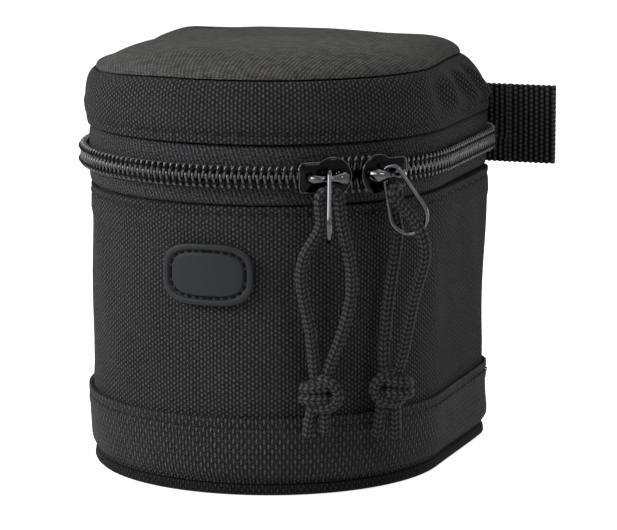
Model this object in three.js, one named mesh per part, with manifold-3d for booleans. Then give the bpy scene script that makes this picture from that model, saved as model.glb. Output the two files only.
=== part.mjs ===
// Lens pouch: a padded case with a round front, a flat back and a zipped lid.
// Millimetres, +Z up. The round front faces -Y and the hinge is at the back, +Y.
// The origin is on the surface it stands on, halfway across and halfway back.
import * as THREE from 'three';
import { mergeVertices } from 'three/addons/utils/BufferGeometryUtils.js';
import Module from 'manifold-3d';

const wasm = await Module();
wasm.setup();

// Outline and heights
const bodyWidth = 98;
const bodyDepth = 105;
const backCornerRadius = 16;
const seamAngleDeg = 60;
const bodyEdgeHeight = 77.5;
const zipBandHeight = 16.5;
const lidSideHeight = 16;
const topSetback = 12.5;
const lidBulge = 1;
const lidEdgeProud = 0.5;
const lidCurl = 1.3;
const crownEdge = 0.6;
const crownEdgeInset = 0.7;
const crownShoulder = 4.2;
const crownRun = 12.5;
const crownMiddle = 0.2;

// Layers of the wall
const fit = 0.3;
const shellCloth = 0.9;
const liningCloth = 0.9;
const wallFoam = 8;
const baseFoam = 6;
const lidWallFoam = 7.5;
const topFoamDrop = 5.7;
const zipRecess = 1.5;
const recessHalf = 13.5;
const rimGap = 1.4;
const rimCloth = 0.7;
const rimInset = 3;

// Base
const basePanelThickness = 1;
const bindingHeight = 3.1;
const bindingWidth = 2.4;
const bindingInset = 0.5;
const bindingRound = 0.8;
const bandTop = 21.5;
const bandCloth = 0.8;
const baseTuck = 1.4;
const tuckHeight = 12;
const foamHeel = 0.8;

// Zip
const tapeCloth = 0.7;
const tapeProud = 0.5;
const tapeEdge = 1.3;
const tapeTurn = 2;
const tapeHidden = 5;
const chainHeight = 6.4;
const coilDepth = 2.2;
const elementPitch = 1.9;
const elementReach = 0.9;
const elementRoot = 1.5;
const elementTipWidth = 0.84;
const elementRootWidth = 0.6;
const chainEndAngleDeg = 44;
const partedHalf = 1.9;
const partedRun = 4.2;
const partedLead = 0.8;
const stopWidth = 1.6;

// Sliders
const leftSliderAzimuthDeg = 35;
const rightSliderAzimuthDeg = 53.4;
const sliderLength = 14.2;
const sliderNose = 3.6;
const sliderTailHalf = 4;
const sliderNoseHalf = 5.2;
const sliderPlate = 0.6;
const sliderChamfer = 0.3;
const sliderRun = 0.35;
const sliderLip = 0.5;
const sliderLipLength = 6.6;
const sliderBackPlate = 1.1;
const sliderBackDrop = 0.8;
const sliderBackMargin = 0.6;
const dividerHalf = 0.45;
const dividerLength = 3;
const dividerSetback = 0.8;
const overrun = 0.2;

// Wire pulls on the bridges of the sliders
const bridgeRadius = 0.95;
const bridgeSpan = 9.2;
const bridgeTailPost = 1.35;
const bridgeNosePost = 1.9;
const bridgeOff = 3.3;
const wireDiameter = 1.2;
const pullNeckRadius = 2.3;
const pullEndRadius = 4.9;
const pullLength = 11.3;
const leftPullTwistDeg = -17.5;
const leftPullSwingDeg = 0;
const rightPullTwistDeg = 40;
const rightPullSwingDeg = 9;

// Cords: places are sideways, outward and down from the bridge
const cordDiameter = 3;
const cordBightDrop = 2.95;
const cordBightHalf = 2.5;
const leftLegs = [
  [[-2.5, 0.7, 12.2], [-6.6, 0.2, 20.5], [-7.2, -0.3, 26.5], [-4.6, -0.8, 41], [-3.6, -1, 50.9]],
  [[2.9, 0.7, 11], [5.4, 0.2, 22.5], [5.7, -0.3, 30.5], [3.4, -0.8, 41], [-0.1, -1, 50.9]],
];
const rightLegs = [
  [[1.6, 3.6, 9], [4.4, 5.2, 14.5], [5.6, 5, 20], [4.6, 2, 32], [2.5, -1, 50.9]],
  [[1.9, -2.2, 9.5], [2.9, -2.6, 15], [2.4, -2.5, 20], [-0.2, -1.8, 37], [-1.2, -1, 50.9]],
];
const knotHalfWidth = 5.6;
const knotHalfDepth = 3.6;
const knotHalfHeight = 5;
const knotDrop = 56.5;
const knotSunk = 1;
const knotWaist = 0.5;
const leftKnotSideways = -1.8;
const rightKnotSideways = 0.6;
const leftTails = [6.7, 5];
const rightTails = [7.9, 9];
const tailSpread = [-2.6, 0.9];
const tailSplay = [-1.1, 0.2];

// Webbing tab, belt loop and badge
const webbingLayer = 1.2;
const webbingSlack = 0.6;
const tabHeight = 21.6;
const tabRoot = 52.1;
const tabEnd = 66;
const tongueStart = 41.5;
const tongueHeight = 6.6;
const strapWidth = 38;
const strapCloth = 1.6;
const strapFoot = 24.5;
const strapHeight = 46;
const strapSewn = 6;
const strapSlope = 5;
const strapGap = 4.6;
const badgeWidth = 24.5;
const badgeHeight = 16.4;
const badgeBase = 0.9;
const badgeRim = 1.7;
const badgePanel = 1.4;
const badgeDrop = 18;
const badgeRimWidth = 1.6;
const badgeGroove = 0.8;
const badgeStep = 0.3;

// Facets and shares
const arcSteps = 20;
const cornerSteps = 4;
const backCornerSteps = 2;
const tuckSteps = 3;
const lidSideSteps = 3;
const lidInsideSteps = 2;
const crownSteps = 4;
const partedSteps = 10;
const noseSteps = 5;
const barSides = 8;
const wireNeckSteps = 7;
const wireEndSteps = 11;
const bightSteps = 4;
const cordSteps = 24;
const foldSteps = 6;
const knotSides = 12;
const knotRings = 6;
const badgeSides = 28;
const leanPower = 1.45;
const curlPower = 12;
const knotEndShare = 0.5;
const badgeSquareShare = 0.62;
const badgeMidwayShare = 0.6;
const badgeMiddleShare = 0.2;

const halfWidth = bodyWidth / 2;
const backY = bodyDepth / 2;
const arcCentreY = halfWidth - backY;
const cornerX = halfWidth - backCornerRadius;
const cornerY = backY - backCornerRadius;
const lidEdgeHeight = bodyEdgeHeight + zipBandHeight;
const lidSeamHeight = lidEdgeHeight + lidSideHeight;
const zipLevel = (bodyEdgeHeight + lidEdgeHeight) / 2;
const bindingFoot = fit;
const footHeight = bindingFoot + bindingHeight + fit;
const badgeLevel = bodyEdgeHeight - badgeDrop;
const baseFoamFoot = basePanelThickness + fit;
const baseLiningFoot = baseFoamFoot + baseFoam + fit;
const foamInset = shellCloth + fit;
const recessInset = foamInset + zipRecess;
const foamTop = zipLevel - rimGap / 2 - rimCloth - fit;
const lidFoamFoot = zipLevel + rimGap / 2 + rimCloth + fit;
const topFoamFoot = lidSeamHeight - topFoamDrop;
const liningInset = foamInset + wallFoam + fit;
const lidLiningInset = foamInset + lidWallFoam + fit;
const coilInner = tapeProud + fit;
const coilOuter = coilInner + coilDepth;
const chainRadius = halfWidth + (coilInner + coilOuter) / 2;
const quarterTurn = Math.PI / 2;
const fullTurn = Math.PI * 2;
const rad = THREE.MathUtils.degToRad;
const up = new THREE.Vector3(0, 0, 1);

const part = new THREE.Group();

const materials = {
  shellWeave: { color: 0x26262a, roughness: 0.85, metalness: 0 },
  topWeave: { color: 0x2b2b2d, roughness: 0.85, metalness: 0 },
  bandWeave: { color: 0x202124, roughness: 0.8, metalness: 0 },
  lining: { color: 0x3a3b3e, roughness: 0.95, metalness: 0 },
  foam: { color: 0x46474a, roughness: 1, metalness: 0 },
  binding: { color: 0x18181a, roughness: 0.9, metalness: 0 },
  tape: { color: 0x1e2026, roughness: 0.9, metalness: 0 },
  coil: { color: 0x17171a, roughness: 0.35, metalness: 0 },
  gunmetal: { color: 0x2e2e31, roughness: 0.25, metalness: 1 },
  wire: { color: 0x54565a, roughness: 0.25, metalness: 1 },
  cord: { color: 0x1c1c1e, roughness: 0.9, metalness: 0 },
  webbing: { color: 0x161617, roughness: 0.85, metalness: 0 },
  rubber: { color: 0x232427, roughness: 0.6, metalness: 0 },
};

function addMesh(name, geometry, look) {
  const mesh = new THREE.Mesh(geometry, new THREE.MeshStandardMaterial(materials[look]));
  mesh.name = name;
  part.add(mesh);
}

// Plan outline: each station is a place on it and the way out from there

function cornerStation(angle, side) {
  const nx = Math.cos(angle) * side;
  const ny = Math.sin(angle);
  return {
    x: cornerX * side + backCornerRadius * nx,
    y: cornerY + backCornerRadius * ny,
    nx,
    ny,
    parted: 0,
  };
}

function arcStation(azimuth) {
  const nx = Math.sin(azimuth);
  const ny = -Math.cos(azimuth);
  return { x: halfWidth * nx, y: arcCentreY + halfWidth * ny, nx, ny, parted: partedAt(azimuth) };
}

// How far each half of the chain stands off the middle, between the two sliders
function partedAt(azimuth) {
  const fromLeft = (azimuth - rad(leftSliderAzimuthDeg)) * chainRadius;
  const fromRight = (rad(rightSliderAzimuthDeg) - azimuth) * chainRadius;
  const opening = (run) => THREE.MathUtils.smoothstep(run, -partedLead, partedRun - partedLead);
  return partedHalf * opening(fromLeft) * opening(fromRight);
}

function spread(from, to, steps) {
  return Array.from({ length: steps + 1 }, (_, i) => from + (to - from) * (i / steps));
}

// Front and sides, from the right back seam round to the left one
const seamAngle = rad(seamAngleDeg);
function frontLine(azimuths) {
  return [
    ...spread(seamAngle, 0, cornerSteps).map((a) => cornerStation(a, 1)),
    ...azimuths.map(arcStation),
    ...spread(0, seamAngle, cornerSteps).map((a) => cornerStation(a, -1)),
  ];
}

const arcAzimuths = spread(quarterTurn, -quarterTurn, arcSteps);
const wrapLine = frontLine(arcAzimuths);

// The back, from the left seam to the right one
const backStart = seamAngle + fit / backCornerRadius;
const backLine = [
  ...spread(backStart, quarterTurn, backCornerSteps).map((a) => cornerStation(a, -1)),
  ...spread(quarterTurn, backStart, backCornerSteps).map((a) => cornerStation(a, 1)),
];
const wholeLine = [...wrapLine, ...backLine.slice(1, -1)];

// The tapes have more stations where they part between the sliders
const partedMargin = partedLead / chainRadius;
const partedFrom = rad(rightSliderAzimuthDeg) + partedMargin;
const partedTo = rad(leftSliderAzimuthDeg) - partedMargin;
const tapeAzimuths = [
  ...arcAzimuths.filter((a) => a > partedFrom),
  ...spread(partedFrom, partedTo, partedSteps),
  ...arcAzimuths.filter((a) => a < partedTo),
];
const tapeLine = frontLine(tapeAzimuths);

// A station at a distance along the chain, measured from the middle of the front
const arcRun = chainRadius * quarterTurn;
const sideRun = cornerY - arcCentreY;
const chainCorner = backCornerRadius + chainRadius - halfWidth;
const chainHalfLength = arcRun + sideRun + rad(chainEndAngleDeg) * chainCorner;

function chainStation(distance) {
  const side = distance < 0 ? -1 : 1;
  const far = Math.abs(distance);
  if (far <= arcRun) {
    return arcStation((far / chainRadius) * side);
  }
  if (far <= arcRun + sideRun) {
    return { x: halfWidth * side, y: arcCentreY + far - arcRun, nx: side, ny: 0, parted: 0 };
  }
  return cornerStation((far - arcRun - sideRun) / chainCorner, side);
}

function pointAt(station, inset, z) {
  return new THREE.Vector3(station.x - station.nx * inset, station.y - station.ny * inset, z);
}

const plainPoint = (station, [inset, z]) => pointAt(station, inset, z);

// The body's lower edge is tucked in towards the base
function bodyPoint(station, [inset, z]) {
  const low = 1 - THREE.MathUtils.clamp((z - footHeight) / tuckHeight, 0, 1);
  return pointAt(station, inset + baseTuck * low * low, z);
}

// The lid's side swells below its top seam, and its back leans forward
function lidPoint(station, [inset, z]) {
  const rise = THREE.MathUtils.clamp((z - lidEdgeHeight) / (lidSeamHeight - lidEdgeHeight), 0, 1);
  const swell = z < lidEdgeHeight ? 0 : lidEdgeProud + lidBulge * Math.sin(Math.PI * rise);
  const curl = lidCurl * rise ** curlPower;
  const back = Math.max(0, (station.y - arcCentreY) / (backY - arcCentreY));
  const point = pointAt(station, inset - swell + curl, z);
  point.y -= topSetback * rise ** leanPower * back;
  return point;
}

// Closed geometry from points and triangles, turned to face outwards

const turned = ([a, b, c]) => [a, c, b];

function closedGeometry(points, triangles) {
  const cross = new THREE.Vector3();
  const volume = triangles.reduce(
    (sum, [a, b, c]) => sum + points[a].dot(cross.crossVectors(points[b], points[c])),
    0,
  );
  const faces = volume < 0 ? triangles.map(turned) : triangles;
  const geometry = new THREE.BufferGeometry();
  const flat = points.flatMap((p) => [p.x, p.y, p.z]);
  geometry.setAttribute('position', new THREE.Float32BufferAttribute(flat, 3));
  geometry.setIndex(faces.flat());
  return geometry;
}

function joinRings(triangles, a, b, count) {
  for (let i = 0; i < count; i += 1) {
    const j = (i + 1) % count;
    triangles.push([a + i, a + j, b + j], [a + i, b + j, b + i]);
  }
}

// A layer's section is its outer face going up and its inner face coming down
const layer = (face, thickness) => [
  ...face,
  ...face.map(([inset, z]) => [inset + thickness, z]).reverse(),
];

// Sweeps a section along stations; the section may change from station to station
function sweep(line, sectionAt, place, closed = false) {
  const size = sectionAt(line[0]).length;
  const points = line.flatMap((station) => sectionAt(station).map((corner) => place(station, corner)));
  const triangles = [];
  const runs = closed ? line.length : line.length - 1;
  for (let i = 0; i < runs; i += 1) {
    joinRings(triangles, i * size, ((i + 1) % line.length) * size, size);
  }
  if (!closed) {
    const end = (line.length - 1) * size;
    for (let i = 0; i < size / 2 - 1; i += 1) {
      const far = size - 1 - i;
      triangles.push([i + 1, i, far], [i + 1, far, far - 1]);
      triangles.push([end + i, end + i + 1, end + far], [end + i + 1, end + far - 1, end + far]);
    }
  }
  return closedGeometry(points, triangles);
}

// A disc of the plan outline, with rings from its underside to its top
function disc(rings, bottom, top, place) {
  const middle = (z) => place({ x: 0, y: 0, nx: 0, ny: 0 }, [0, z]);
  const size = wholeLine.length;
  const points = rings.flatMap((corner) => wholeLine.map((station) => place(station, corner)));
  const triangles = [];
  for (let i = 0; i < rings.length - 1; i += 1) {
    joinRings(triangles, i * size, (i + 1) * size, size);
  }
  const last = (rings.length - 1) * size;
  const under = points.push(middle(bottom)) - 1;
  const over = points.push(middle(top)) - 1;
  for (let i = 0; i < size; i += 1) {
    const j = (i + 1) % size;
    triangles.push([j, i, under], [last + i, last + j, over]);
  }
  return closedGeometry(points, triangles);
}

const flatDisc = (inset, bottom, top, place) => disc([[inset, bottom], [inset, top]], bottom, top, place);

// A round bar through points; across is a direction that the bar never runs along
function bar(points, radius, across, closed = false) {
  const count = points.length;
  const skin = points.flatMap((point, i) => {
    const next = closed ? points[(i + 1) % count] : points[Math.min(i + 1, count - 1)];
    const before = closed ? points[(i + count - 1) % count] : points[Math.max(i - 1, 0)];
    const along = next.clone().sub(before).normalize();
    const one = across.clone().addScaledVector(along, -across.dot(along)).normalize();
    const two = along.clone().cross(one);
    return spread(0, fullTurn, barSides).slice(1).map((turn) =>
      point
        .clone()
        .addScaledVector(one, radius * Math.cos(turn))
        .addScaledVector(two, radius * Math.sin(turn)),
    );
  });
  const triangles = [];
  for (let i = 0; i < (closed ? count : count - 1); i += 1) {
    joinRings(triangles, i * barSides, ((i + 1) % count) * barSides, barSides);
  }
  if (!closed) {
    triangles.push(...endFans((count - 1) * barSides, barSides));
  }
  return closedGeometry(skin, triangles);
}

// Closes the first ring of a stack and its last one, which starts at corner number end
function endFans(end, sides) {
  const fans = [];
  for (let i = 1; i < sides - 1; i += 1) {
    fans.push([0, i + 1, i], [end, end + i, end + i + 1]);
  }
  return fans;
}

function solidOf(geometry) {
  const bare = geometry.clone();
  bare.deleteAttribute('normal');
  bare.deleteAttribute('uv');
  const merged = mergeVertices(bare);
  return new wasm.Manifold(
    new wasm.Mesh({
      numProp: 3,
      vertProperties: merged.attributes.position.array,
      triVerts: new Uint32Array(merged.index.array),
    }),
  );
}

function united(geometries) {
  const mesh = geometries
    .map(solidOf)
    .reduce((sum, next) => sum.add(next))
    .getMesh();
  const geometry = new THREE.BufferGeometry();
  geometry.setAttribute('position', new THREE.BufferAttribute(mesh.vertProperties, 3));
  geometry.setIndex(new THREE.BufferAttribute(mesh.triVerts, 1));
  return geometry;
}

// Body

const tuckLevels = spread(footHeight, footHeight + tuckHeight, tuckSteps);
const shellFace = [...tuckLevels, bodyEdgeHeight].map((z) => [0, z]);
const shellSection = layer(shellFace, shellCloth);
addMesh('body_wrap_panel', sweep(wrapLine, () => shellSection, bodyPoint), 'shellWeave');
addMesh('body_back_panel', sweep(backLine, () => shellSection, bodyPoint), 'shellWeave');

const recessFoot = zipLevel - recessHalf;
const foamInner = foamInset + wallFoam;
const foamSection = [
  [foamInset + foamHeel, baseFoamFoot],
  [foamInset + foamHeel, footHeight],
  [foamInset, footHeight + foamHeel],
  [foamInset, recessFoot - zipRecess],
  [recessInset, recessFoot],
  [recessInset, foamTop],
  [foamInner, foamTop],
  [foamInner, footHeight + tuckHeight],
  [foamInner, baseFoamFoot],
];
addMesh('body_foam_wall', sweep(wholeLine, () => foamSection, bodyPoint, true), 'foam');

const rimFoot = foamTop + fit;
const baseLiningTop = baseLiningFoot + liningCloth;
const liningSection = [
  [liningInset, baseLiningTop + fit],
  [liningInset, footHeight + tuckHeight],
  [liningInset, rimFoot],
  [rimInset, rimFoot],
  [rimInset, rimFoot + rimCloth],
  [liningInset + liningCloth, rimFoot + rimCloth],
  [liningInset + liningCloth, footHeight + tuckHeight],
  [liningInset + liningCloth, baseLiningTop + fit],
];
addMesh('body_lining', sweep(wholeLine, () => liningSection, bodyPoint, true), 'lining');

// Base

const panelInset = bindingInset + bindingWidth + fit;
addMesh('base_panel', flatDisc(panelInset, 0, basePanelThickness, plainPoint), 'bandWeave');
addMesh('base_foam', flatDisc(liningInset, baseFoamFoot, baseFoamFoot + baseFoam, bodyPoint), 'foam');
addMesh('base_lining', flatDisc(liningInset + fit, baseLiningFoot, baseLiningTop, bodyPoint), 'lining');

const bindingTop = bindingFoot + bindingHeight;
const bindingSection = [
  [bindingInset + bindingRound, bindingFoot],
  [bindingInset, bindingFoot + bindingRound],
  [bindingInset, bindingTop - bindingRound],
  [bindingInset + bindingRound, bindingTop],
  [bindingInset + bindingWidth, bindingTop],
  [bindingInset + bindingWidth, bindingFoot],
];
addMesh('base_binding', sweep(wholeLine, () => bindingSection, plainPoint, true), 'binding');

const bandFace = [...tuckLevels, bandTop].map((z) => [-fit - bandCloth, z]);
addMesh('base_band', sweep(wholeLine, () => layer(bandFace, bandCloth), bodyPoint, true), 'bandWeave');

// Lid

const sideLevels = [
  ...spread(lidEdgeHeight, lidSeamHeight - crownShoulder, lidSideSteps),
  lidSeamHeight - lidCurl,
  lidSeamHeight,
];
const sideFace = sideLevels.map((z) => [0, z]);
addMesh('lid_side_band', sweep(wholeLine, () => layer(sideFace, shellCloth), lidPoint, true), 'shellWeave');

// The crown's rounded shoulder: share 0 is its edge and share 1 is where the flat top starts
const crownFoot = lidSeamHeight + crownEdge;
const crownTop = crownFoot + crownShoulder + crownMiddle;
function crownCorner(share, depth) {
  const turn = share * quarterTurn;
  return [
    crownEdgeInset + depth + (crownRun - depth) * (1 - Math.cos(turn)),
    crownFoot + (crownShoulder - depth) * Math.sin(turn),
  ];
}
const crownFace = (depth) => spread(0, 1, crownSteps).map((share) => crownCorner(share, depth));
const crownRings = [...crownFace(shellCloth).reverse(), ...crownFace(0)];
addMesh(
  'lid_top_panel',
  disc(crownRings, crownTop - shellCloth, crownTop, lidPoint),
  'topWeave',
);

const padDepth = shellCloth + fit;
const padLevels = [topFoamFoot, lidSeamHeight - crownShoulder, lidSeamHeight - lidCurl];
const padSide = padLevels.map((z) => [foamInset + fit, z]);
const padRings = [...padSide, ...crownFace(padDepth)];
addMesh('lid_foam_top', disc(padRings, topFoamFoot, crownTop - padDepth, lidPoint), 'foam');

const recessTop = zipLevel + recessHalf;
const lidFoamInner = foamInset + lidWallFoam;
const lidFoamTop = topFoamFoot - fit;
const ceilingFoot = lidFoamTop - liningCloth;
const lidInsideLevels = spread(lidEdgeHeight, ceilingFoot - fit, lidInsideSteps);
const lidInside = (inset) => lidInsideLevels.map((z) => [inset, z]);
const lidFoamSection = [
  [recessInset, lidFoamFoot],
  [recessInset, lidEdgeHeight - tapeTurn],
  [recessInset, recessTop],
  [foamInset, recessTop + zipRecess],
  [foamInset, lidFoamTop],
  [lidFoamInner, lidFoamTop],
  ...lidInside(lidFoamInner).reverse(),
  [lidFoamInner, lidFoamFoot],
];
addMesh('lid_foam_wall', sweep(wholeLine, () => lidFoamSection, lidPoint, true), 'foam');

const lidRimFoot = lidFoamFoot - fit - rimCloth;
const lidLiningSection = [
  [rimInset, lidRimFoot],
  [rimInset, lidRimFoot + rimCloth],
  [lidLiningInset, lidRimFoot + rimCloth],
  ...lidInside(lidLiningInset),
  ...lidInside(lidLiningInset + liningCloth).reverse(),
  [lidLiningInset + liningCloth, lidRimFoot],
];
addMesh('lid_lining', sweep(wholeLine, () => lidLiningSection, lidPoint, true), 'lining');
addMesh('lid_top_lining', flatDisc(lidLiningInset, ceilingFoot, lidFoamTop, lidPoint), 'lining');

// Hinge cloth at the back, sewn behind the edges of the body and of the lid

const hingeFace = [
  [foamInset, bodyEdgeHeight - tapeHidden],
  [foamInset, bodyEdgeHeight + fit],
  [-fit, bodyEdgeHeight + tapeTurn],
  [-fit, zipLevel],
  [-fit, lidEdgeHeight - tapeTurn],
  [foamInset, lidEdgeHeight - fit],
  [foamInset, lidEdgeHeight + tapeHidden],
];
addMesh('hinge_strip', sweep(backLine, () => layer(hingeFace, tapeCloth), lidPoint), 'shellWeave');

// Zip: tapes, coils and stops. Side is -1 below the middle of the chain and 1 above it

function tapeSection(station, side) {
  const edge = side < 0 ? bodyEdgeHeight : lidEdgeHeight;
  const face = [
    [foamInset, edge + side * tapeHidden],
    [foamInset, edge - side * fit],
    [-tapeProud, edge - side * tapeTurn],
    [-tapeProud, zipLevel + side * (tapeEdge + station.parted)],
  ];
  return layer(face, tapeCloth);
}
addMesh('zip_tape_lower', sweep(tapeLine, (s) => tapeSection(s, -1), bodyPoint), 'tape');
addMesh('zip_tape_upper', sweep(tapeLine, (s) => tapeSection(s, 1), lidPoint), 'tape');

// One half of the chain: elements on a common root, each reaching past the middle
function coil(side) {
  const count = Math.floor((2 * chainHalfLength) / elementPitch) - 1;
  const start = ((side / 2 - count) / 2) * elementPitch;
  const rootFar = chainHeight / 2;
  const rootNear = rootFar - elementRoot;
  const points = [];
  const addCorner = (distance, height) => {
    const station = chainStation(distance);
    const z = zipLevel + side * (height + station.parted);
    return points.push(pointAt(station, -coilInner, z), pointAt(station, -coilOuter, z)) - 2;
  };
  const faces = [];
  const elements = [];
  const feet = [addCorner(start - elementPitch / 2, rootFar)];
  for (let i = 0; i < count; i += 1) {
    const middle = start + i * elementPitch;
    const [a, b, c, d] = [
      addCorner(middle - elementRootWidth / 2, rootNear),
      addCorner(middle - elementTipWidth / 2, -elementReach),
      addCorner(middle + elementTipWidth / 2, -elementReach),
      addCorner(middle + elementRootWidth / 2, rootNear),
    ];
    const foot = feet[feet.length - 1];
    const next = addCorner(middle + elementPitch / 2, rootFar);
    faces.push([a, b, c], [a, c, d], [foot, a, d], [foot, d, next]);
    if (i > 0) {
      faces.push([foot, elements[elements.length - 1], a]);
    }
    elements.push(a, b, c, d);
    feet.push(next);
  }
  const rim = [...elements, ...feet.reverse()];
  const triangles = faces.flatMap(([a, b, c]) => [[a, b, c], [a + 1, c + 1, b + 1]]);
  rim.forEach((a, i) => {
    const b = rim[(i + 1) % rim.length];
    triangles.push([b, a, a + 1], [b, a + 1, b + 1]);
  });
  return closedGeometry(points, triangles);
}
addMesh('zip_coil_lower', coil(-1), 'coil');
addMesh('zip_coil_upper', coil(1), 'coil');

const stopSection = [
  [-coilOuter, zipLevel - chainHeight / 2],
  [-coilOuter, zipLevel],
  [-coilInner, zipLevel],
  [-coilInner, zipLevel - chainHeight / 2],
];
for (const [name, side] of [['left', -1], ['right', 1]]) {
  const line = [fit, fit + stopWidth].map((far) => chainStation((chainHalfLength + far) * side));
  addMesh(`zip_stop_${name}`, sweep(line, () => stopSection, plainPoint), 'gunmetal');
}

// Sliders, drawn along x with the nose at +x and the outside towards -y

const plateOuter = chainRadius + coilDepth / 2 + sliderRun;
const faceOuter = plateOuter + sliderPlate + 2 * sliderChamfer;
const backOuter = halfWidth + tapeProud - tapeCloth - sliderBackDrop;
const bridgeDistance = faceOuter + bridgeOff;

function sliderOutline(margin) {
  const tail = sliderLength / 2 - margin;
  const shoulder = sliderLength / 2 - sliderNose;
  const outline = new THREE.Shape();
  outline.moveTo(-tail, margin - sliderTailHalf);
  outline.lineTo(shoulder, margin - sliderNoseHalf);
  outline.absellipse(shoulder, 0, sliderNose - margin, sliderNoseHalf - margin, -quarterTurn, quarterTurn);
  outline.lineTo(-tail, sliderTailHalf - margin);
  outline.closePath();
  return outline;
}

function sliderPlateSolid(margin, near, thickness, chamfer) {
  const plate = new THREE.ExtrudeGeometry(sliderOutline(margin + chamfer), {
    depth: thickness,
    curveSegments: noseSteps,
    bevelEnabled: chamfer > 0,
    bevelSize: chamfer,
    bevelThickness: chamfer,
    bevelSegments: 1,
  });
  return plate.rotateX(quarterTurn).translate(0, -near - chamfer, 0);
}

function block(x0, x1, near, far, z0, z1) {
  const box = new THREE.BoxGeometry(x1 - x0, far - near, z1 - z0);
  return box.translate((x0 + x1) / 2, -(near + far) / 2, (z0 + z1) / 2);
}

function bridgeSolids() {
  const half = bridgeSpan / 2;
  const outAt = (x, distance) => new THREE.Vector3(x, -distance, 0);
  const across = new THREE.Vector3(1, 0, 0);
  const post = (x, radius) =>
    bar([outAt(x, bridgeDistance + radius), outAt(x, faceOuter - overrun)], radius, across);
  const ends = [-half, half].map((x) => outAt(x, bridgeDistance));
  return [post(-half, bridgeTailPost), post(half, bridgeNosePost), bar(ends, bridgeRadius, up)];
}

function sliderSolid() {
  const tail = -sliderLength / 2;
  const dividerNose = sliderLength / 2 - dividerSetback;
  const lips = [-1, 1].map((side) => {
    const far = side * sliderTailHalf;
    const near = far - side * sliderLip;
    const [z0, z1] = [Math.min(near, far), Math.max(near, far)];
    return block(tail, tail + sliderLipLength, plateOuter - coilDepth, plateOuter + overrun, z0, z1);
  });
  const divider = block(
    dividerNose - dividerLength,
    dividerNose,
    backOuter - overrun,
    plateOuter + overrun,
    -dividerHalf,
    dividerHalf,
  );
  return united([
    sliderPlateSolid(0, plateOuter, sliderPlate, sliderChamfer),
    sliderPlateSolid(sliderBackMargin, backOuter - sliderBackPlate, sliderBackPlate, 0),
    divider,
    ...lips,
    ...bridgeSolids(),
  ]);
}

const outwardAt = (azimuth) => new THREE.Vector3(Math.sin(azimuth), -Math.cos(azimuth), 0);
const alongAt = (azimuth) => new THREE.Vector3(Math.cos(azimuth), Math.sin(azimuth), 0);

// The right slider is the left one turned half round, so that the noses face each other
function placedSlider(azimuth, side) {
  const frame = new THREE.Matrix4().makeBasis(
    alongAt(azimuth).multiplyScalar(side),
    outwardAt(azimuth).negate(),
    up.clone().multiplyScalar(side),
  );
  return sliderSolid().applyMatrix4(frame.setPosition(0, arcCentreY, zipLevel));
}

const bridgeAt = (azimuth) =>
  outwardAt(azimuth).multiplyScalar(bridgeDistance).add(new THREE.Vector3(0, arcCentreY, zipLevel));

// A teardrop of wire round the bridge, leaning out until its inner side hangs upright, and then
// swung further out where a cord holds it off
const pullLean = Math.asin((pullEndRadius - pullNeckRadius) / pullLength);
function pullLoop(azimuth, twist, swing) {
  const place = (centreOut, centreUp, radius, turn) =>
    new THREE.Vector3(centreOut + radius * Math.cos(turn), centreUp + radius * Math.sin(turn), 0)
      .applyAxisAngle(up, swing)
      .applyMatrix4(new THREE.Matrix4().makeBasis(outwardAt(azimuth + twist), up, alongAt(azimuth + twist)))
      .add(bridgeAt(azimuth));
  const endOut = pullLength * Math.sin(pullLean);
  const endUp = -pullLength * Math.cos(pullLean);
  const neck = spread(2 * pullLean, Math.PI, wireNeckSteps).map((turn) =>
    place(0, 0, pullNeckRadius, turn),
  );
  const end = spread(Math.PI, fullTurn + 2 * pullLean, wireEndSteps).map((turn) =>
    place(endOut, endUp, pullEndRadius, turn),
  );
  return bar([...neck, ...end], wireDiameter / 2, alongAt(azimuth + twist), true);
}

// Cords are laid out as the photographer sees them, so sideways is across that view
const viewAzimuth = rad(leftSliderAzimuthDeg + leftPullTwistDeg);
function cordPlace(azimuth, [sideways, out, down]) {
  return bridgeAt(azimuth)
    .addScaledVector(alongAt(viewAzimuth), sideways)
    .addScaledVector(outwardAt(azimuth), out)
    .addScaledVector(up, -down);
}

// A bight through the wire loop, then one leg down each side of it to the knot
function doubledCord(azimuth, twist, legs) {
  const lean = cordBightDrop * Math.sin(pullLean);
  const bight = spread(-quarterTurn, quarterTurn, bightSteps).map((turn) =>
    bridgeAt(azimuth)
      .addScaledVector(alongAt(azimuth + twist), cordBightHalf * Math.sin(turn))
      .addScaledVector(outwardAt(azimuth + twist), lean)
      .addScaledVector(up, -cordBightDrop - cordBightHalf * (1 - Math.cos(turn))),
  );
  const [first, second] = legs.map((leg) => leg.map((place) => cordPlace(azimuth, place)));
  const curve = new THREE.CatmullRomCurve3([...first.reverse(), ...bight, ...second]);
  return bar(curve.getSpacedPoints(cordSteps), cordDiameter / 2, outwardAt(azimuth + twist));
}

function knot(azimuth, sideways) {
  const centre = cordPlace(azimuth, [sideways, -knotSunk, knotDrop]);
  const levels = spread(-1, 1, knotRings);
  const points = levels.flatMap((level) => {
    const round = Math.sqrt(1 - knotEndShare * level ** 4);
    const waist = knotWaist * Math.abs(Math.sin(level * Math.PI));
    return spread(0, fullTurn, knotSides).slice(1).map((turn) =>
      centre
        .clone()
        .addScaledVector(alongAt(viewAzimuth), (knotHalfWidth * round - waist) * Math.cos(turn))
        .addScaledVector(outwardAt(viewAzimuth), (knotHalfDepth * round - waist) * Math.sin(turn))
        .addScaledVector(up, knotHalfHeight * level),
    );
  });
  const triangles = endFans((levels.length - 1) * knotSides, knotSides);
  for (let i = 0; i < levels.length - 1; i += 1) {
    joinRings(triangles, i * knotSides, (i + 1) * knotSides, knotSides);
  }
  return closedGeometry(points, triangles);
}

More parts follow.
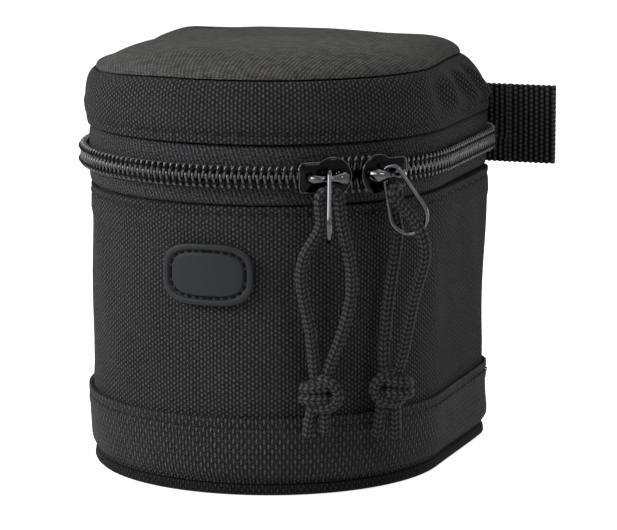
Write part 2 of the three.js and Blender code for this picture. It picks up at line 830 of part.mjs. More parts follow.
function tail(azimuth, sideways, splay, length) {
  const top = knotDrop + knotHalfHeight + fit;
  const ends = [
    [sideways, -knotSunk, top],
    [sideways + splay, -knotSunk, top + length],
  ];
  return bar(ends.map((place) => cordPlace(azimuth, place)), cordDiameter / 2, outwardAt(azimuth));
}

const pulls = [
  {
    name: 'left',
    side: 1,
    azimuth: rad(leftSliderAzimuthDeg),
    twist: rad(leftPullTwistDeg),
    swing: rad(leftPullSwingDeg),
    legs: leftLegs,
    knotSideways: leftKnotSideways,
    tails: leftTails,
  },
  {
    name: 'right',
    side: -1,
    azimuth: rad(rightSliderAzimuthDeg),
    twist: rad(rightPullTwistDeg),
    swing: rad(rightPullSwingDeg),
    legs: rightLegs,
    knotSideways: rightKnotSideways,
    tails: rightTails,
  },
];
for (const { name, side, azimuth, twist, swing, legs, knotSideways, tails } of pulls) {
  addMesh(`slider_${name}`, placedSlider(azimuth, side), 'gunmetal');
  addMesh(`pull_wire_${name}`, pullLoop(azimuth, twist, swing), 'wire');
  addMesh(`pull_cord_${name}`, doubledCord(azimuth, twist, legs), 'cord');
  addMesh(`cord_knot_${name}`, knot(azimuth, knotSideways), 'cord');
  tails.forEach((length, i) => {
    const sideways = knotSideways + tailSpread[i];
    addMesh(`cord_tail_${name}_${i + 1}`, tail(azimuth, sideways, tailSplay[i], length), 'cord');
  });
}

// Webbing tab: a folded strap whose lower half reaches in to the back corner

const tabHalf = (2 * webbingLayer + webbingSlack) / 2;
function webbingFold(root, bottom, top) {
  const fold = (half) => [
    [root, backY - half],
    ...spread(-quarterTurn, quarterTurn, foldSteps).map((turn) => [
      tabEnd - tabHalf + half * Math.cos(turn),
      backY + half * Math.sin(turn),
    ]),
    [root, backY + half],
  ];
  const section = [...fold(tabHalf), ...fold(tabHalf - webbingLayer).reverse()];
  return sweep([bottom, top], () => section, (z, [x, y]) => new THREE.Vector3(x, y, z));
}
const tabTop = bodyEdgeHeight + tabHeight;
const tongueTop = bodyEdgeHeight + tongueHeight;
addMesh(
  'webbing_tab',
  united([
    webbingFold(tongueStart, bodyEdgeHeight, tongueTop),
    webbingFold(tabRoot, tongueTop - overrun, tabTop),
  ]),
  'webbing',
);

// Belt loop: a strap sewn to the back panel above and below, bowed off it between

const strapTop = strapFoot + strapHeight;
const strapBack = backY + fit;
const strapFace = [
  [strapBack, strapFoot],
  [strapBack, strapFoot + strapSewn],
  [strapBack + strapGap, strapFoot + strapSewn + strapSlope],
  [strapBack + strapGap, strapTop - strapSewn - strapSlope],
  [strapBack, strapTop - strapSewn],
  [strapBack, strapTop],
];
addMesh(
  'belt_loop',
  sweep([-strapWidth / 2, strapWidth / 2], () => layer(strapFace, strapCloth), (x, [y, z]) =>
    new THREE.Vector3(x, y, z),
  ),
  'webbing',
);

// Badge: a bare rubber plate with a raised rim, a groove and a raised panel, bent to the front

function badge() {
  const panelEdge = badgeRimWidth + badgeGroove;
  const rings = [
    [0, 0, badgeMiddleShare],
    [0, 0, badgeMidwayShare],
    [0, 0, 1],
    [0, badgeBase, 1],
    [badgeStep, badgeRim, 1],
    [badgeRimWidth - badgeStep, badgeRim, 1],
    [badgeRimWidth, badgeBase, 1],
    [panelEdge, badgeBase, 1],
    [panelEdge + badgeStep, badgePanel, 1],
    [panelEdge + badgeStep, badgePanel, badgeMidwayShare],
    [panelEdge + badgeStep, badgePanel, badgeMiddleShare],
  ];
  const place = (across, above, height) => {
    const azimuth = across / halfWidth;
    const station = arcStation(azimuth);
    return pointAt(station, -fit - height, badgeLevel + above);
  };
  const squared = (value) => Math.sign(value) * Math.abs(value) ** badgeSquareShare;
  const points = rings.flatMap(([inset, height, share]) =>
    spread(0, fullTurn, badgeSides).slice(1).map((turn) =>
      place(
        (badgeWidth / 2 - inset) * share * squared(Math.cos(turn)),
        (badgeHeight / 2 - inset) * share * squared(Math.sin(turn)),
        height,
      ),
    ),
  );
  const triangles = endFans((rings.length - 1) * badgeSides, badgeSides);
  for (let i = 0; i < rings.length - 1; i += 1) {
    joinRings(triangles, i * badgeSides, (i + 1) * badgeSides, badgeSides);
  }
  return closedGeometry(points, triangles);
}
addMesh('badge', badge(), 'rubber');

export default part;
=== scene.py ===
"""Lens pouch: the cloth, zip, metal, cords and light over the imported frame."""

import math

import bpy
from mathutils import Matrix, Vector, noise


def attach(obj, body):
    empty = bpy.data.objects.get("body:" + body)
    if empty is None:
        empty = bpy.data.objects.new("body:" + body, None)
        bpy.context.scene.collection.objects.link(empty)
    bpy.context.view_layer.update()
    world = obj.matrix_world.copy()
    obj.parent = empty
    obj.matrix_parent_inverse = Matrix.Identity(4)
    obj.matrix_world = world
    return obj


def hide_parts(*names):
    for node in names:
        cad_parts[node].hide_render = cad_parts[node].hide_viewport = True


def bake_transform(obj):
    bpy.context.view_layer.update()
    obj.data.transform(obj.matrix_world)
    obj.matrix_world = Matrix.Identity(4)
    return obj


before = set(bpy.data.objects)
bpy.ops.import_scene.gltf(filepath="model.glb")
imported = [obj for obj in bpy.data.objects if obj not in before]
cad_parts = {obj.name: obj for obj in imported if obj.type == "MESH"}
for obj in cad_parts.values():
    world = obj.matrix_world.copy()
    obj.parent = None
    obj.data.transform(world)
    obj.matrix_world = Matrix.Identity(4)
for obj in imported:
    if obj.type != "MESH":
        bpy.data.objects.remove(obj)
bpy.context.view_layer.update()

# Millimetres, as in the part's source, turned into metres when a mesh is made
MM = 0.001
TURN = 2 * math.pi
QUARTER = math.pi / 2

# Outline and heights
HALF_WIDTH = 49
BACK_Y = 52.5
CORNER = 16
ARC_Y = HALF_WIDTH - BACK_Y
CORNER_X = HALF_WIDTH - CORNER
CORNER_Y = BACK_Y - CORNER
SEAM_ANGLE = math.radians(60)
BODY_EDGE = 77.5
LID_EDGE = 94
LID_SEAM = 110
ZIP_LEVEL = (BODY_EDGE + LID_EDGE) / 2
TOP_SETBACK = 12.5
LID_PROUD = 0.5
LID_BULGE = 1
LID_CURL = 1.3
LEAN_POWER = 1.45
CURL_POWER = 12
LEFT_DROP = 1.5
RIGHT_DRAW = 3
CROWN_FOOT = 110.6
CROWN_INSET = 0.7
CROWN_SHOULDER = 4.9
CROWN_RUN = 12.5

# Layers
FIT = 0.3
CLOTH = 0.9
TAPE_CLOTH = 0.7
FOAM_INSET = CLOTH + FIT
FOAM_INNER = 9.2
LID_FOAM_INNER = 8.7
RECESS_INSET = 2.7
RECESS_FOOT = ZIP_LEVEL - 13.5
RECESS_TOP = ZIP_LEVEL + 13.5
FOAM_FOOT = 1.3
FOAM_TOP = 84.05
LINING_FOOT = 8.8
LINING_MIDDLE = 45
LID_FOAM_FOOT = 87.45
TOP_FOAM_FOOT = 104.3
RIM_CLOTH = 0.7
RIM_INSET = 3

# Base
FOOT = 3.7
TUCK = 1.4
TUCK_HEIGHT = 12
BAND_TOP = 21.5
BAND_OUT = 1.1
BINDING_FOOT = 0.3
BINDING_TOP = 3.4
BINDING_INSET = 0.5
BINDING_WIDTH = 2.4

# Zip
COIL_INNER = 0.8
COIL_OUTER = 3
COIL_MIDDLE = (COIL_INNER + COIL_OUTER) / 2
PITCH = 1.9
FILAMENT = 0.4
CHAIN_HALF_LENGTH = 133.7
ELEMENTS = math.floor(2 * CHAIN_HALF_LENGTH / PITCH) - 1
TAPE_SHORT = 2.9
PARTED_HALF = 1.9
PARTED_RUN = 4.2
PARTED_LEAD = 0.8
LEFT_AZIMUTH = math.radians(35)
RIGHT_AZIMUTH = math.radians(53.4)

# Sliders, wire pulls and cords
PLATE_OUT = 52.35
BACK_PLATE_OUT = 46.9
SLIDER_HALF = 7.1
NOSE_X = 1.9
NOSE_RADIUS = 5.2
TAIL_HALF = 4
TAIL_ROUND = 1.2
DIVIDER_X = 5.2
BRIDGE_OUT = 56.85
WIRE_RADIUS = 0.6
NECK_RADIUS = 2.3
END_RADIUS = 4.9
PULL_LENGTH = 11.3
CORD_RADIUS = 1.5
BRAID_COLUMNS = 8
BRAID_COLUMN = TURN * CORD_RADIUS / BRAID_COLUMNS
BRAID_ROW = 1.35
VIEW_AZIMUTH = math.radians(17.5)
BIGHT_DROP = 2.95
BIGHT_HALF = 2.5
KNOT_DROP = 56.5
KNOT_SUNK = 1
TAIL_TOP = 61.8
TAIL_SPREAD = (-2.6, 0.9)
TAIL_SPLAY = (-1.1, 0.2)
PULLS = {
    "left": {
        "side": 1,
        "azimuth": LEFT_AZIMUTH,
        "twist": math.radians(-17.5),
        "swing": 0.0,
        "legs": (
            ((-2.5, 0.7, 12.2), (-6.6, 0.2, 20.5), (-7.2, -0.3, 26.5), (-4.6, -0.8, 41), (-3.6, -1, 50.9)),
            ((2.9, 0.7, 11), (5.4, 0.2, 22.5), (5.7, -0.3, 30.5), (3.4, -0.8, 41), (-0.1, -1, 50.9)),
        ),
        "knot": -1.8,
        "tails": (6.7, 5),
    },
    "right": {
        "side": -1,
        "azimuth": RIGHT_AZIMUTH,
        "twist": math.radians(40),
        "swing": math.radians(9),
        "legs": (
            ((1.6, 3.6, 9), (4.4, 5.2, 14.5), (5.6, 5, 20), (4.6, 2, 32), (2.5, -1, 50.9)),
            ((1.9, -2.2, 9.5), (2.9, -2.6, 15), (2.4, -2.5, 20), (-0.2, -1.8, 37), (-1.2, -1, 50.9)),
        ),
        "knot": 0.6,
        "tails": (7.9, 9),
    },
}

# Webbing, belt loop and badge
WEB_HALF = 0.6
TAB_HALF = 0.9
TAB_ROOT = 52.1
TAB_END = 66
TAB_TOP = 99.1
TONGUE_START = 41.5
TONGUE_TOP = 84.1
ROOT_START = 45
BELT_WIDTH = 38
BELT_FOOT = 24.5
BELT_HEIGHT = 46
BELT_SEWN = 6
BELT_STITCHES = 12
BELT_RISE = 5
BELT_GAP = 4.6
BELT_NEAR = BACK_Y + FIT + 0.8
RIB_PITCH = 1.55
BUMP_PITCH = 1.3
EDGE_BUMP = 0.3
BADGE_WIDTH = 24.5
BADGE_HEIGHT = 16.4
BADGE_LEVEL = 59.5
BADGE_STITCHES = 28

# Sewing
STITCH_PITCH = 3
STITCH_LENGTH = 2.3
STITCH_RADIUS = 0.26
STITCH_DIP = 0.12
LID_STITCH = 2.6
BODY_STITCH = 2.1
BAND_STITCH = 2.7

# Camera, fitted to the photograph, in millimetres
CAMERA_AZIMUTH = math.radians(18.84)
CAMERA_ELEVATION = math.radians(10.15)
CAMERA_AIM = Vector((0, 0, 55))
CAMERA_DISTANCE = 900
CAMERA_RIGHT = 9.27
CAMERA_DOWN = 1.99
CAMERA_LENS = 189.8

# Light, in metres and watts
WHITE = (1, 1, 1, 1)
LIGHT_AIM = Vector((0, 0, 0.06))
LIGHTS = (
    ("key", (-1.0, -0.7, 0.7), 0.6, 18),
    ("fill", (-0.55, -1.05, 0.9), 0.6, 6.3),
    ("side", (0.95, -0.6, 1.0), 0.4, 4.4),
    ("edge", (0.8, 0.95, 0.15), 0.3, 2.5),
    ("top", (0.1, 0.35, 1.3), 0.9, 4.8),
)
WORLD_STRENGTH = 0.03
FLOOR_HALF = 3
FLOOR_COLOR = (0.86, 0.86, 0.86, 1)
FLOOR_GLOW = 0.85


def clamp(value, low=0.0, high=1.0):
    return min(max(value, low), high)


def smooth(share):
    share = clamp(share)
    return share * share * (3 - 2 * share)


def hump(distance, width):
    return math.exp(-((distance / width) ** 2))


def steps(start, end, count):
    return [start + (end - start) * i / count for i in range(count + 1)]


def added(name, data):
    """A new object of the scene."""
    obj = bpy.data.objects.new(name, data)
    bpy.context.scene.collection.objects.link(obj)
    return obj


# Camera and light


def stage_scene():
    """The photograph's view of the pouch, a pale floor and plain soft light."""
    across, level = math.cos(CAMERA_AZIMUTH), math.cos(CAMERA_ELEVATION)
    sine = math.sin(CAMERA_AZIMUTH)
    right = Vector((across, sine, 0))
    back = Vector((sine * level, -across * level, math.sin(CAMERA_ELEVATION)))
    above = back.cross(right)
    eye = CAMERA_AIM + back * CAMERA_DISTANCE + right * CAMERA_RIGHT - above * CAMERA_DOWN
    data = bpy.data.cameras.new("camera")
    data.lens = CAMERA_LENS
    camera = added("camera", data)
    camera.matrix_world = Matrix.Translation(eye * MM) @ Matrix((right, above, back)).transposed().to_4x4()
    bpy.context.scene.camera = camera
    bpy.context.scene.view_settings.view_transform = "Standard"
    for light in LIGHTS:
        add_light(*light)
    stage_world()
    stage_floor()


def add_light(name, place, size, watts):
    data = bpy.data.lights.new(name, "AREA")
    data.size = size
    data.energy = watts
    light = added(name, data)
    light.location = place
    light.rotation_euler = (LIGHT_AIM - light.location).to_track_quat("-Z", "Y").to_euler()


def put(value, socket):
    """Links another socket to this one, or sets a plain value."""
    if isinstance(value, bpy.types.NodeSocket):
        socket.id_data.links.new(value, socket)
    else:
        socket.default_value = value


def fill(node, *values, **named):
    """Gives a node's inputs their values, in order and by name, with _ for a space; returns its result."""
    for value, socket in zip(values, node.inputs):
        put(value, socket)
    for name, value in named.items():
        put(value, node.inputs[name.replace("_", " ")])
    return node.outputs[0]


def math_node(tree, operation, *values):
    node = tree.nodes.new("ShaderNodeMath")
    node.operation = operation
    return fill(node, *values)


def seen_directly(tree):
    """A socket that is 1 for camera, mirror and glass rays."""
    rays = tree.nodes.new("ShaderNodeLightPath").outputs
    bounced = math_node(tree, "MAXIMUM", rays["Is Glossy Ray"], rays["Is Transmission Ray"])
    return math_node(tree, "MAXIMUM", rays["Is Camera Ray"], bounced)


def stage_world():
    world = bpy.data.worlds.new("world")
    bpy.context.scene.world = world
    world.use_nodes = True
    tree = world.node_tree
    lit = fill(tree.nodes["Background"], WHITE, WORLD_STRENGTH)
    white = fill(tree.nodes.new("ShaderNodeBackground"), WHITE)
    mix = fill(tree.nodes.new("ShaderNodeMixShader"), seen_directly(tree), lit, white)
    put(mix, tree.nodes["World Output"].inputs["Surface"])


def stage_floor():
    low, high = -FLOOR_HALF, FLOOR_HALF
    mesh = bpy.data.meshes.new("floor")
    mesh.from_pydata([(low, low, 0), (high, low, 0), (high, high, 0), (low, high, 0)], [], [(0, 1, 2, 3)])
    look = Look("floor", 0.9, 0.0)
    matt = fill(look.surface, Base_Color=FLOOR_COLOR)
    glow = fill(look.add("ShaderNodeEmission"), WHITE, look.times(seen_directly(look.tree), FLOOR_GLOW))
    total = fill(look.add("ShaderNodeAddShader"), matt, glow)
    put(total, look.tree.nodes["Material Output"].inputs["Surface"])
    mesh.materials.append(look.material)
    added("floor", mesh)


# Materials


class Look:
    """A material, with short ways to add the nodes that it is made of."""

    def __init__(self, name, roughness, specular, metallic=0.0):
        self.material = bpy.data.materials.new(name)
        self.material.use_nodes = True
        self.tree = self.material.node_tree
        self.surface = self.tree.nodes["Principled BSDF"]
        fill(self.surface, Roughness=roughness, Specular_IOR_Level=specular, Metallic=metallic)

    def add(self, kind):
        return self.tree.nodes.new(kind)

    def math(self, operation, *values):
        return math_node(self.tree, operation, *values)

    def times(self, a, b):
        return self.math("MULTIPLY", a, b)

    def plus(self, a, b):
        return self.math("ADD", a, b)

    def arches(self, value):
        """A row of arches, from 0 up to 1 and back for each whole step of value."""
        return self.math("ABSOLUTE", self.math("SINE", self.times(value, math.pi)))

    def noise(self, vector, size, detail=3.0, stretch=(1, 1, 1)):
        """Soft noise about 0.5, whose features are about size millimetres across."""
        scale = [1 / (size * MM * s) for s in stretch]
        place = fill(self.add("ShaderNodeMapping"), Vector=vector, Scale=scale)
        return fill(self.add("ShaderNodeTexNoise"), Vector=place, Scale=1, Detail=detail)

    def cloth(self):
        """The cloth's own two directions in metres: as a vector, and each by itself."""
        vector = self.add("ShaderNodeUVMap").outputs["UV"]
        split = self.add("ShaderNodeSeparateXYZ")
        return vector, fill(split, vector), split.outputs[1]

    def solid(self):
        return self.add("ShaderNodeTexCoord").outputs["Object"]

    def remap(self, value, low, high, out_low=0.0, out_high=1.0, soft=True):
        node = self.add("ShaderNodeMapRange")
        node.interpolation_type = "SMOOTHSTEP" if soft else "LINEAR"
        return fill(node, value, low, high, out_low, out_high)

    def finish(self, tone, dark, light, height, depth):
        """Gives the surface its colour, from dark to light, and its relief in millimetres."""
        mix = self.add("ShaderNodeMix")
        mix.data_type = "RGBA"
        put(tone, mix.inputs["Factor"])
        mix.inputs[6].default_value = (*dark, 1)
        mix.inputs[7].default_value = (*light, 1)
        bump = fill(self.add("ShaderNodeBump"), Strength=1, Distance=depth * MM, Height=height)
        fill(self.surface, Base_Color=mix.outputs[2], Normal=bump)
        return self.material


def wobbled(look, wobble):
    """The cloth's two directions, pushed about a little as yarns are."""
    vector, u, v = look.cloth()
    push = look.times(look.math("SUBTRACT", look.noise(vector, 4, 2), 0.5), wobble * MM)
    return vector, look.plus(u, push), look.plus(v, push)


def plain_weave(name, pitch, dark, light, weft, depth, valley, roughness=0.8, grain=0.8):
    """Yarns that cross over and under: raised knots in columns, lower ones between; the colour follows their
    height, with painted shade in the gaps and painted highlight on the knots.
    """
    look = Look(name, roughness, 0.04)
    cloth, u, v = wobbled(look, 0.5)
    warp, fill = (look.math("COSINE", look.times(w, math.pi / (p * MM))) for w, p in zip((u, v), pitch))
    over = look.remap(look.times(warp, fill), -0.8, 0.6)
    under = look.math("SUBTRACT", 1.0, over)
    upright, level = (look.remap(look.times(w, w), 0.0, 1.0, valley, 1.0, False) for w in (warp, fill))
    lift = look.plus(look.times(over, upright), look.times(look.times(under, level), weft))
    fibre = look.noise(cloth, 0.22, 2, (1, 3, 1))
    patch = look.noise(cloth, 22, 2)
    # Colour from the yarns' height: painted shade in the low places and gaps, painted highlight on the raised
    # knots.
    tone = look.times(lift, look.plus(look.times(fibre, 0.9), 0.55))
    tone = look.times(tone, look.plus(look.times(patch, 0.5), 0.75))
    tone = look.times(tone, look.remap(look.noise(cloth, grain, 2), 0.3, 0.7, 0.6, 1.4, False))
    return look.finish(tone, dark, light, look.plus(lift, look.times(fibre, 0.2)), depth)


def ribbed(name, dark, light):
    """Webbing: ribs across the strap, each a row of short yarns, coloured by their height: painted highlight
    on the ribs, painted shade between them.
    """
    look = Look(name, 0.7, 0.04)
    cloth, u, v = wobbled(look, 0.1)
    columns = look.math("DIVIDE", u, RIB_PITCH * MM)
    stagger = look.times(look.math("FLOORED_MODULO", look.math("FLOOR", columns), 2.0), 0.5)
    rows = look.plus(look.math("DIVIDE", v, BUMP_PITCH * MM), stagger)
    ridge = look.math("POWER", look.arches(columns), 2.2)
    lift = look.times(ridge, look.math("POWER", look.arches(rows), 0.8))
    fibre = look.noise(cloth, 0.25, 2, (1, 4, 1))
    # Colour from the ribs' height: painted highlight on their tops, painted shade between them.
    tone = look.times(lift, look.plus(look.times(fibre, 0.8), 0.5))
    return look.finish(tone, dark, light, look.plus(lift, look.times(fibre, 0.2)), 0.3)


def twill(name, pitch, slope, dark, light, depth):
    """Zip tape: fine slanted ribs, coloured by their height: painted highlight on the ribs, painted shade
    between them.
    """
    look = Look(name, 0.8, 0.04)
    cloth, u, v = wobbled(look, 0.2)
    line = look.plus(u, look.times(v, slope))
    lift = look.remap(look.math("SINE", look.times(line, TURN / (pitch * MM))), -1, 1)
    fibre = look.remap(look.noise(cloth, 0.5, 2), 0.32, 0.68)
    # Colour from the ribs' height: painted highlight on the ribs, painted shade between them.
    tone = look.times(look.plus(lift, 0.6), look.plus(fibre, 0.15))
    return look.finish(look.times(tone, 0.6), dark, light, look.plus(lift, fibre), depth)


def fleece(name, dark, light, grain=0.5):
    """Brushed cloth and foam."""
    look = Look(name, 0.95, 0.04)
    space = look.solid()
    nap = look.noise(space, grain, 5)
    tone = look.times(nap, look.plus(look.noise(space, 12, 2), 0.5))
    return look.finish(tone, dark, light, nap, 0.3)


def hard(name, dark, light, roughness, spread, specular, grain, depth, metallic=1.0):
    """Moulded or plated stuff, with faint patches in its gloss."""
    look = Look(name, roughness, specular, metallic)
    patch = look.noise(look.solid(), grain, 3)
    gloss = look.remap(patch, 0.3, 0.7, roughness - spread / 2, roughness + spread / 2)
    fill(look.surface, Roughness=gloss)
    return look.finish(patch, dark, light, patch, depth)


def braided(name, dark, light):
    """Braided cord: slanted bundles of yarn that meet in V shapes, with painted shade in the gaps between
    them and painted highlight on the bundles.
    """
    look = Look(name, 0.6, 0.08)
    _, along, around = look.cloth()
    column = look.math("DIVIDE", around, BRAID_COLUMN * MM)
    slant = look.times(look.math("PINGPONG", column, 1.0), 0.5)
    row = look.plus(look.math("DIVIDE", along, BRAID_ROW * MM), slant)
    lift = look.times(look.arches(row), look.math("POWER", look.arches(column), 0.5))
    fibre = look.noise(look.solid(), 0.25, 2)
    # Colour from the strands' height: painted highlight on the bundles, painted shade in the gaps.
    tone = look.times(look.remap(lift, 0.1, 1.0), look.plus(fibre, 0.4))
    return look.finish(tone, dark, light, lift, 0.3)


def yarn(name, dark, light):
    """Sewing thread, twisted from fine fibres."""
    look = Look(name, 0.7, 0.08)
    fibre = look.noise(look.solid(), 0.22, 3)
    return look.finish(look.remap(fibre, 0.3, 0.75), dark, light, fibre, 0.08)


SHELL = plain_weave(
    "shell weave", (1.0, 0.65), (0.002, 0.002, 0.0022), (0.088, 0.087, 0.088),
    weft=0.22, depth=0.4, valley=0.06,
)
# The top panel's weave is finer than the shell's, and its colours are painted lighter and warmer as light
# falling from above.
TOP_LIT_WEAVE = plain_weave(
    "lit top weave", (0.8, 0.55), (0.01, 0.0098, 0.0095), (0.112, 0.11, 0.105),
    weft=0.7, depth=0.3, valley=0.25, roughness=0.85, grain=1.9,
)
BAND = plain_weave(
    "band weave", (1.0, 1.4), (0.0015, 0.0015, 0.0018), (0.09, 0.0905, 0.094),
    weft=0.3, depth=0.6, valley=0.02, roughness=0.65,
)
BINDING = plain_weave(
    "binding", (0.8, 1.1), (0.001, 0.001, 0.001), (0.03, 0.03, 0.031),
    weft=0.3, depth=0.3, valley=0.1,
)
TAPE = twill("zip tape", 1.15, 0.35, (0.003, 0.0031, 0.0034), (0.084, 0.085, 0.089), depth=0.2)
WEB = ribbed("webbing", (0.001, 0.001, 0.001), (0.075, 0.075, 0.075))
LINING = fleece("lining", (0.018, 0.0185, 0.02), (0.075, 0.077, 0.082))
FOAM = fleece("foam", (0.02, 0.02, 0.021), (0.07, 0.07, 0.072), grain=0.9)
CORD = braided("cord", (0.006, 0.006, 0.0065), (0.058, 0.058, 0.06))
THREAD = yarn("thread", (0.004, 0.004, 0.005), (0.03, 0.03, 0.033))
CHAIN_THREAD = yarn("chain thread", (0.001, 0.001, 0.001), (0.006, 0.006, 0.0065))
GUNMETAL = hard(
    "gunmetal", (0.004, 0.004, 0.0045), (0.01, 0.01, 0.011),
    roughness=0.12, spread=0.06, specular=0.5, grain=2.2, depth=0.008,
)
# The slider's bridge and plate rim: the same gunmetal painted much lighter, as painted highlight and
# reflection.
LIT_BRIDGE_METAL = hard(
    "lit bridge metal", (0.035, 0.036, 0.038), (0.09, 0.091, 0.095),
    roughness=0.1, spread=0.08, specular=0.5, grain=1.4, depth=0.01,
)
STEEL = hard(
    "wire", (0.035, 0.036, 0.039), (0.1, 0.102, 0.108),
    roughness=0.17, spread=0.08, specular=0.5, grain=1.4, depth=0.008,
)
COIL = hard(
    "coil", (0.008, 0.008, 0.009), (0.022, 0.022, 0.024),
    roughness=0.26, spread=0.12, specular=0.6, grain=0.8, depth=0.02, metallic=0.0,
)
RUBBER = hard(
    "rubber", (0.011, 0.0118, 0.013), (0.018, 0.019, 0.021),
    roughness=0.5, spread=0.12, specular=0.15, grain=0.4, depth=0.03, metallic=0.0,
)


# Plan outline: a station is a place on it, the way out from there, and how far the zip is parted


def parted_at(azimuth):
    """How far each half of the chain stands off the middle, between the two sliders."""
    radius = HALF_WIDTH + COIL_MIDDLE
    runs = (azimuth - LEFT_AZIMUTH) * radius, (RIGHT_AZIMUTH - azimuth) * radius
    left, right = (smooth((run + PARTED_LEAD) / PARTED_RUN) for run in runs)
    return PARTED_HALF * left * right


def arc_station(azimuth):
    nx, ny = math.sin(azimuth), -math.cos(azimuth)
    return HALF_WIDTH * nx, ARC_Y + HALF_WIDTH * ny, nx, ny, parted_at(azimuth)


def corner_station(angle, side):
    nx, ny = math.cos(angle) * side, math.sin(angle)
    return CORNER_X * side + CORNER * nx, CORNER_Y + CORNER * ny, nx, ny, 0.0


ARC_RUN = HALF_WIDTH * QUARTER
SIDE_RUN = CORNER_Y - ARC_Y
CORNER_RUN = CORNER * QUARTER
HALF_RUN = ARC_RUN + SIDE_RUN + CORNER_RUN + CORNER_X
SEAM_RUN = ARC_RUN + SIDE_RUN + CORNER * SEAM_ANGLE


def station(run, off=0):
    """The place that lies run millimetres from the front's middle, along a line off outside the outline."""
    run = (run + HALF_RUN) % (2 * HALF_RUN) - HALF_RUN
    side, far = (-1, -run) if run < 0 else (1, run)
    radius, corner = HALF_WIDTH + off, CORNER + off
    straight = radius * QUARTER
    bend = straight + SIDE_RUN
    if far <= straight:
        return arc_station(far / radius * side)
    if far <= bend:
        return HALF_WIDTH * side, ARC_Y + far - straight, side, 0.0, 0.0
    if far <= bend + corner * QUARTER:
        return corner_station((far - bend) / corner, side)
    return (HALF_RUN - far) * side, BACK_Y, 0.0, 1.0, 0.0


def way_out(spot):
    return Vector((spot[2], spot[3], 0))


def plain_place(spot, inset, z):
    return spot[0] - spot[2] * inset, spot[1] - spot[3] * inset, z


def body_place(spot, inset, z):
    """The body's lower edge is tucked in towards the base."""
    low = 1 - clamp((z - FOOT) / TUCK_HEIGHT)
    return plain_place(spot, inset + TUCK * low * low, z)


def lid_place(spot, inset, z):
    """The lid's side swells below its top seam, and its back leans forward."""
    rise = clamp((z - LID_EDGE) / (LID_SEAM - LID_EDGE))
    swell = 0 if z < LID_EDGE else LID_PROUD + LID_BULGE * math.sin(math.pi * rise)
    curl = LID_CURL * rise**CURL_POWER
    low = LEFT_DROP * rise * smooth((-spot[0] - 10) / 36) * smooth((40 - spot[1]) / 16)
    back = max(0, (spot[1] - ARC_Y) / (BACK_Y - ARC_Y))
    draw = RIGHT_DRAW * rise * rise * smooth((spot[0] - 20) / 28) * smooth((spot[1] + 24) / 56)
    x, y, z = plain_place(spot, inset - swell + curl, z)
    return x - draw, y - TOP_SETBACK * rise**LEAN_POWER * back, z - low


# Meshes


def made(name, points, faces, uvs, material, sharp_deg=60):
    """A smooth mesh object from millimetre points, with a pair of cloth lengths for each corner."""
    mesh = bpy.data.meshes.new(name)
    mesh.from_pydata([(x * MM, y * MM, z * MM) for x, y, z in points], [], faces)
    layer = mesh.uv_layers.new(name="UVMap")
    flat = [length * MM for face in uvs for corner in face for length in corner]
    layer.data.foreach_set("uv", flat)
    mesh.polygons.foreach_set("use_smooth", [True] * len(faces))
    mesh.set_sharp_from_angle(angle=math.radians(sharp_deg))
    mesh.materials.append(material)
    return added(name, mesh)


def dress(obj, body, slot, *nodes):
    """Makes a piece move with its body and stand for its CAD nodes; slot is not used."""
    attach(obj, body)
    if nodes:
        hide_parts(*nodes)
    return obj


def lengths(points):
    """How far along its own line each point lies."""
    total, out = 0.0, [0.0]
    for a, b in zip(points, points[1:]):
        total += math.dist(a, b)
        out.append(total)
    return out


def strip_faces(us, vs, wrap_u, wrap_v):
    """Quads, and their cloth lengths, between rows of points: one row for each u."""
    rows, size = len(us) - wrap_u, len(vs) - wrap_v
    faces, uvs = [], []
    for i in range(len(us) - 1):
        for j in range(len(vs) - 1):
            k, n = (i + 1) % rows, (j + 1) % size
            faces.append((i * size + j, k * size + j, k * size + n, i * size + n))
            uvs.append(((us[i], vs[j]), (us[i + 1], vs[j]), (us[i + 1], vs[j + 1]), (us[i], vs[j + 1])))
    return faces, uvs


def add_caps(faces, uvs, size, rows):
    """Closes the first and the last of the rows."""
    last = (rows - 1) * size
    for corners in (range(size - 1, -1, -1), range(last, last + size)):
        faces.append(tuple(corners))
        uvs.append(((0, 0),) * size)


def loft(name, runs, section, place, material, closed=False):
    """Carries a closed section round the outline: corners, or a function that gives them for a run."""
    used = runs[:-1] if closed else runs
    sections = [section(run) if callable(section) else section for run in used]
    first = sections[0]
    points = [place(station(run), *corner) for run, corners in zip(used, sections) for corner in corners]
    faces, uvs = strip_faces(runs, lengths([*first, first[0]]), closed, True)
    if not closed:
        add_caps(faces, uvs, len(first), len(runs))
    return made(name, points, faces, uvs, material)


def cloth_section(levels, thickness, relief, base=0.0, fold=0.45):
    """A cloth's section: a fine outer face with folded edges, and a plain inner one."""
    low, high = levels[0], levels[-1]
    inner = [(base + thickness, z) for z in steps(high, low, 6)]

    def at(run):
        outer = [(base - relief(run, z), z) for z in levels]
        ends = (base + fold, low - fold / 3), (base + fold, high + fold / 3)
        return [ends[0], *outer, ends[1], *inner]

    return at


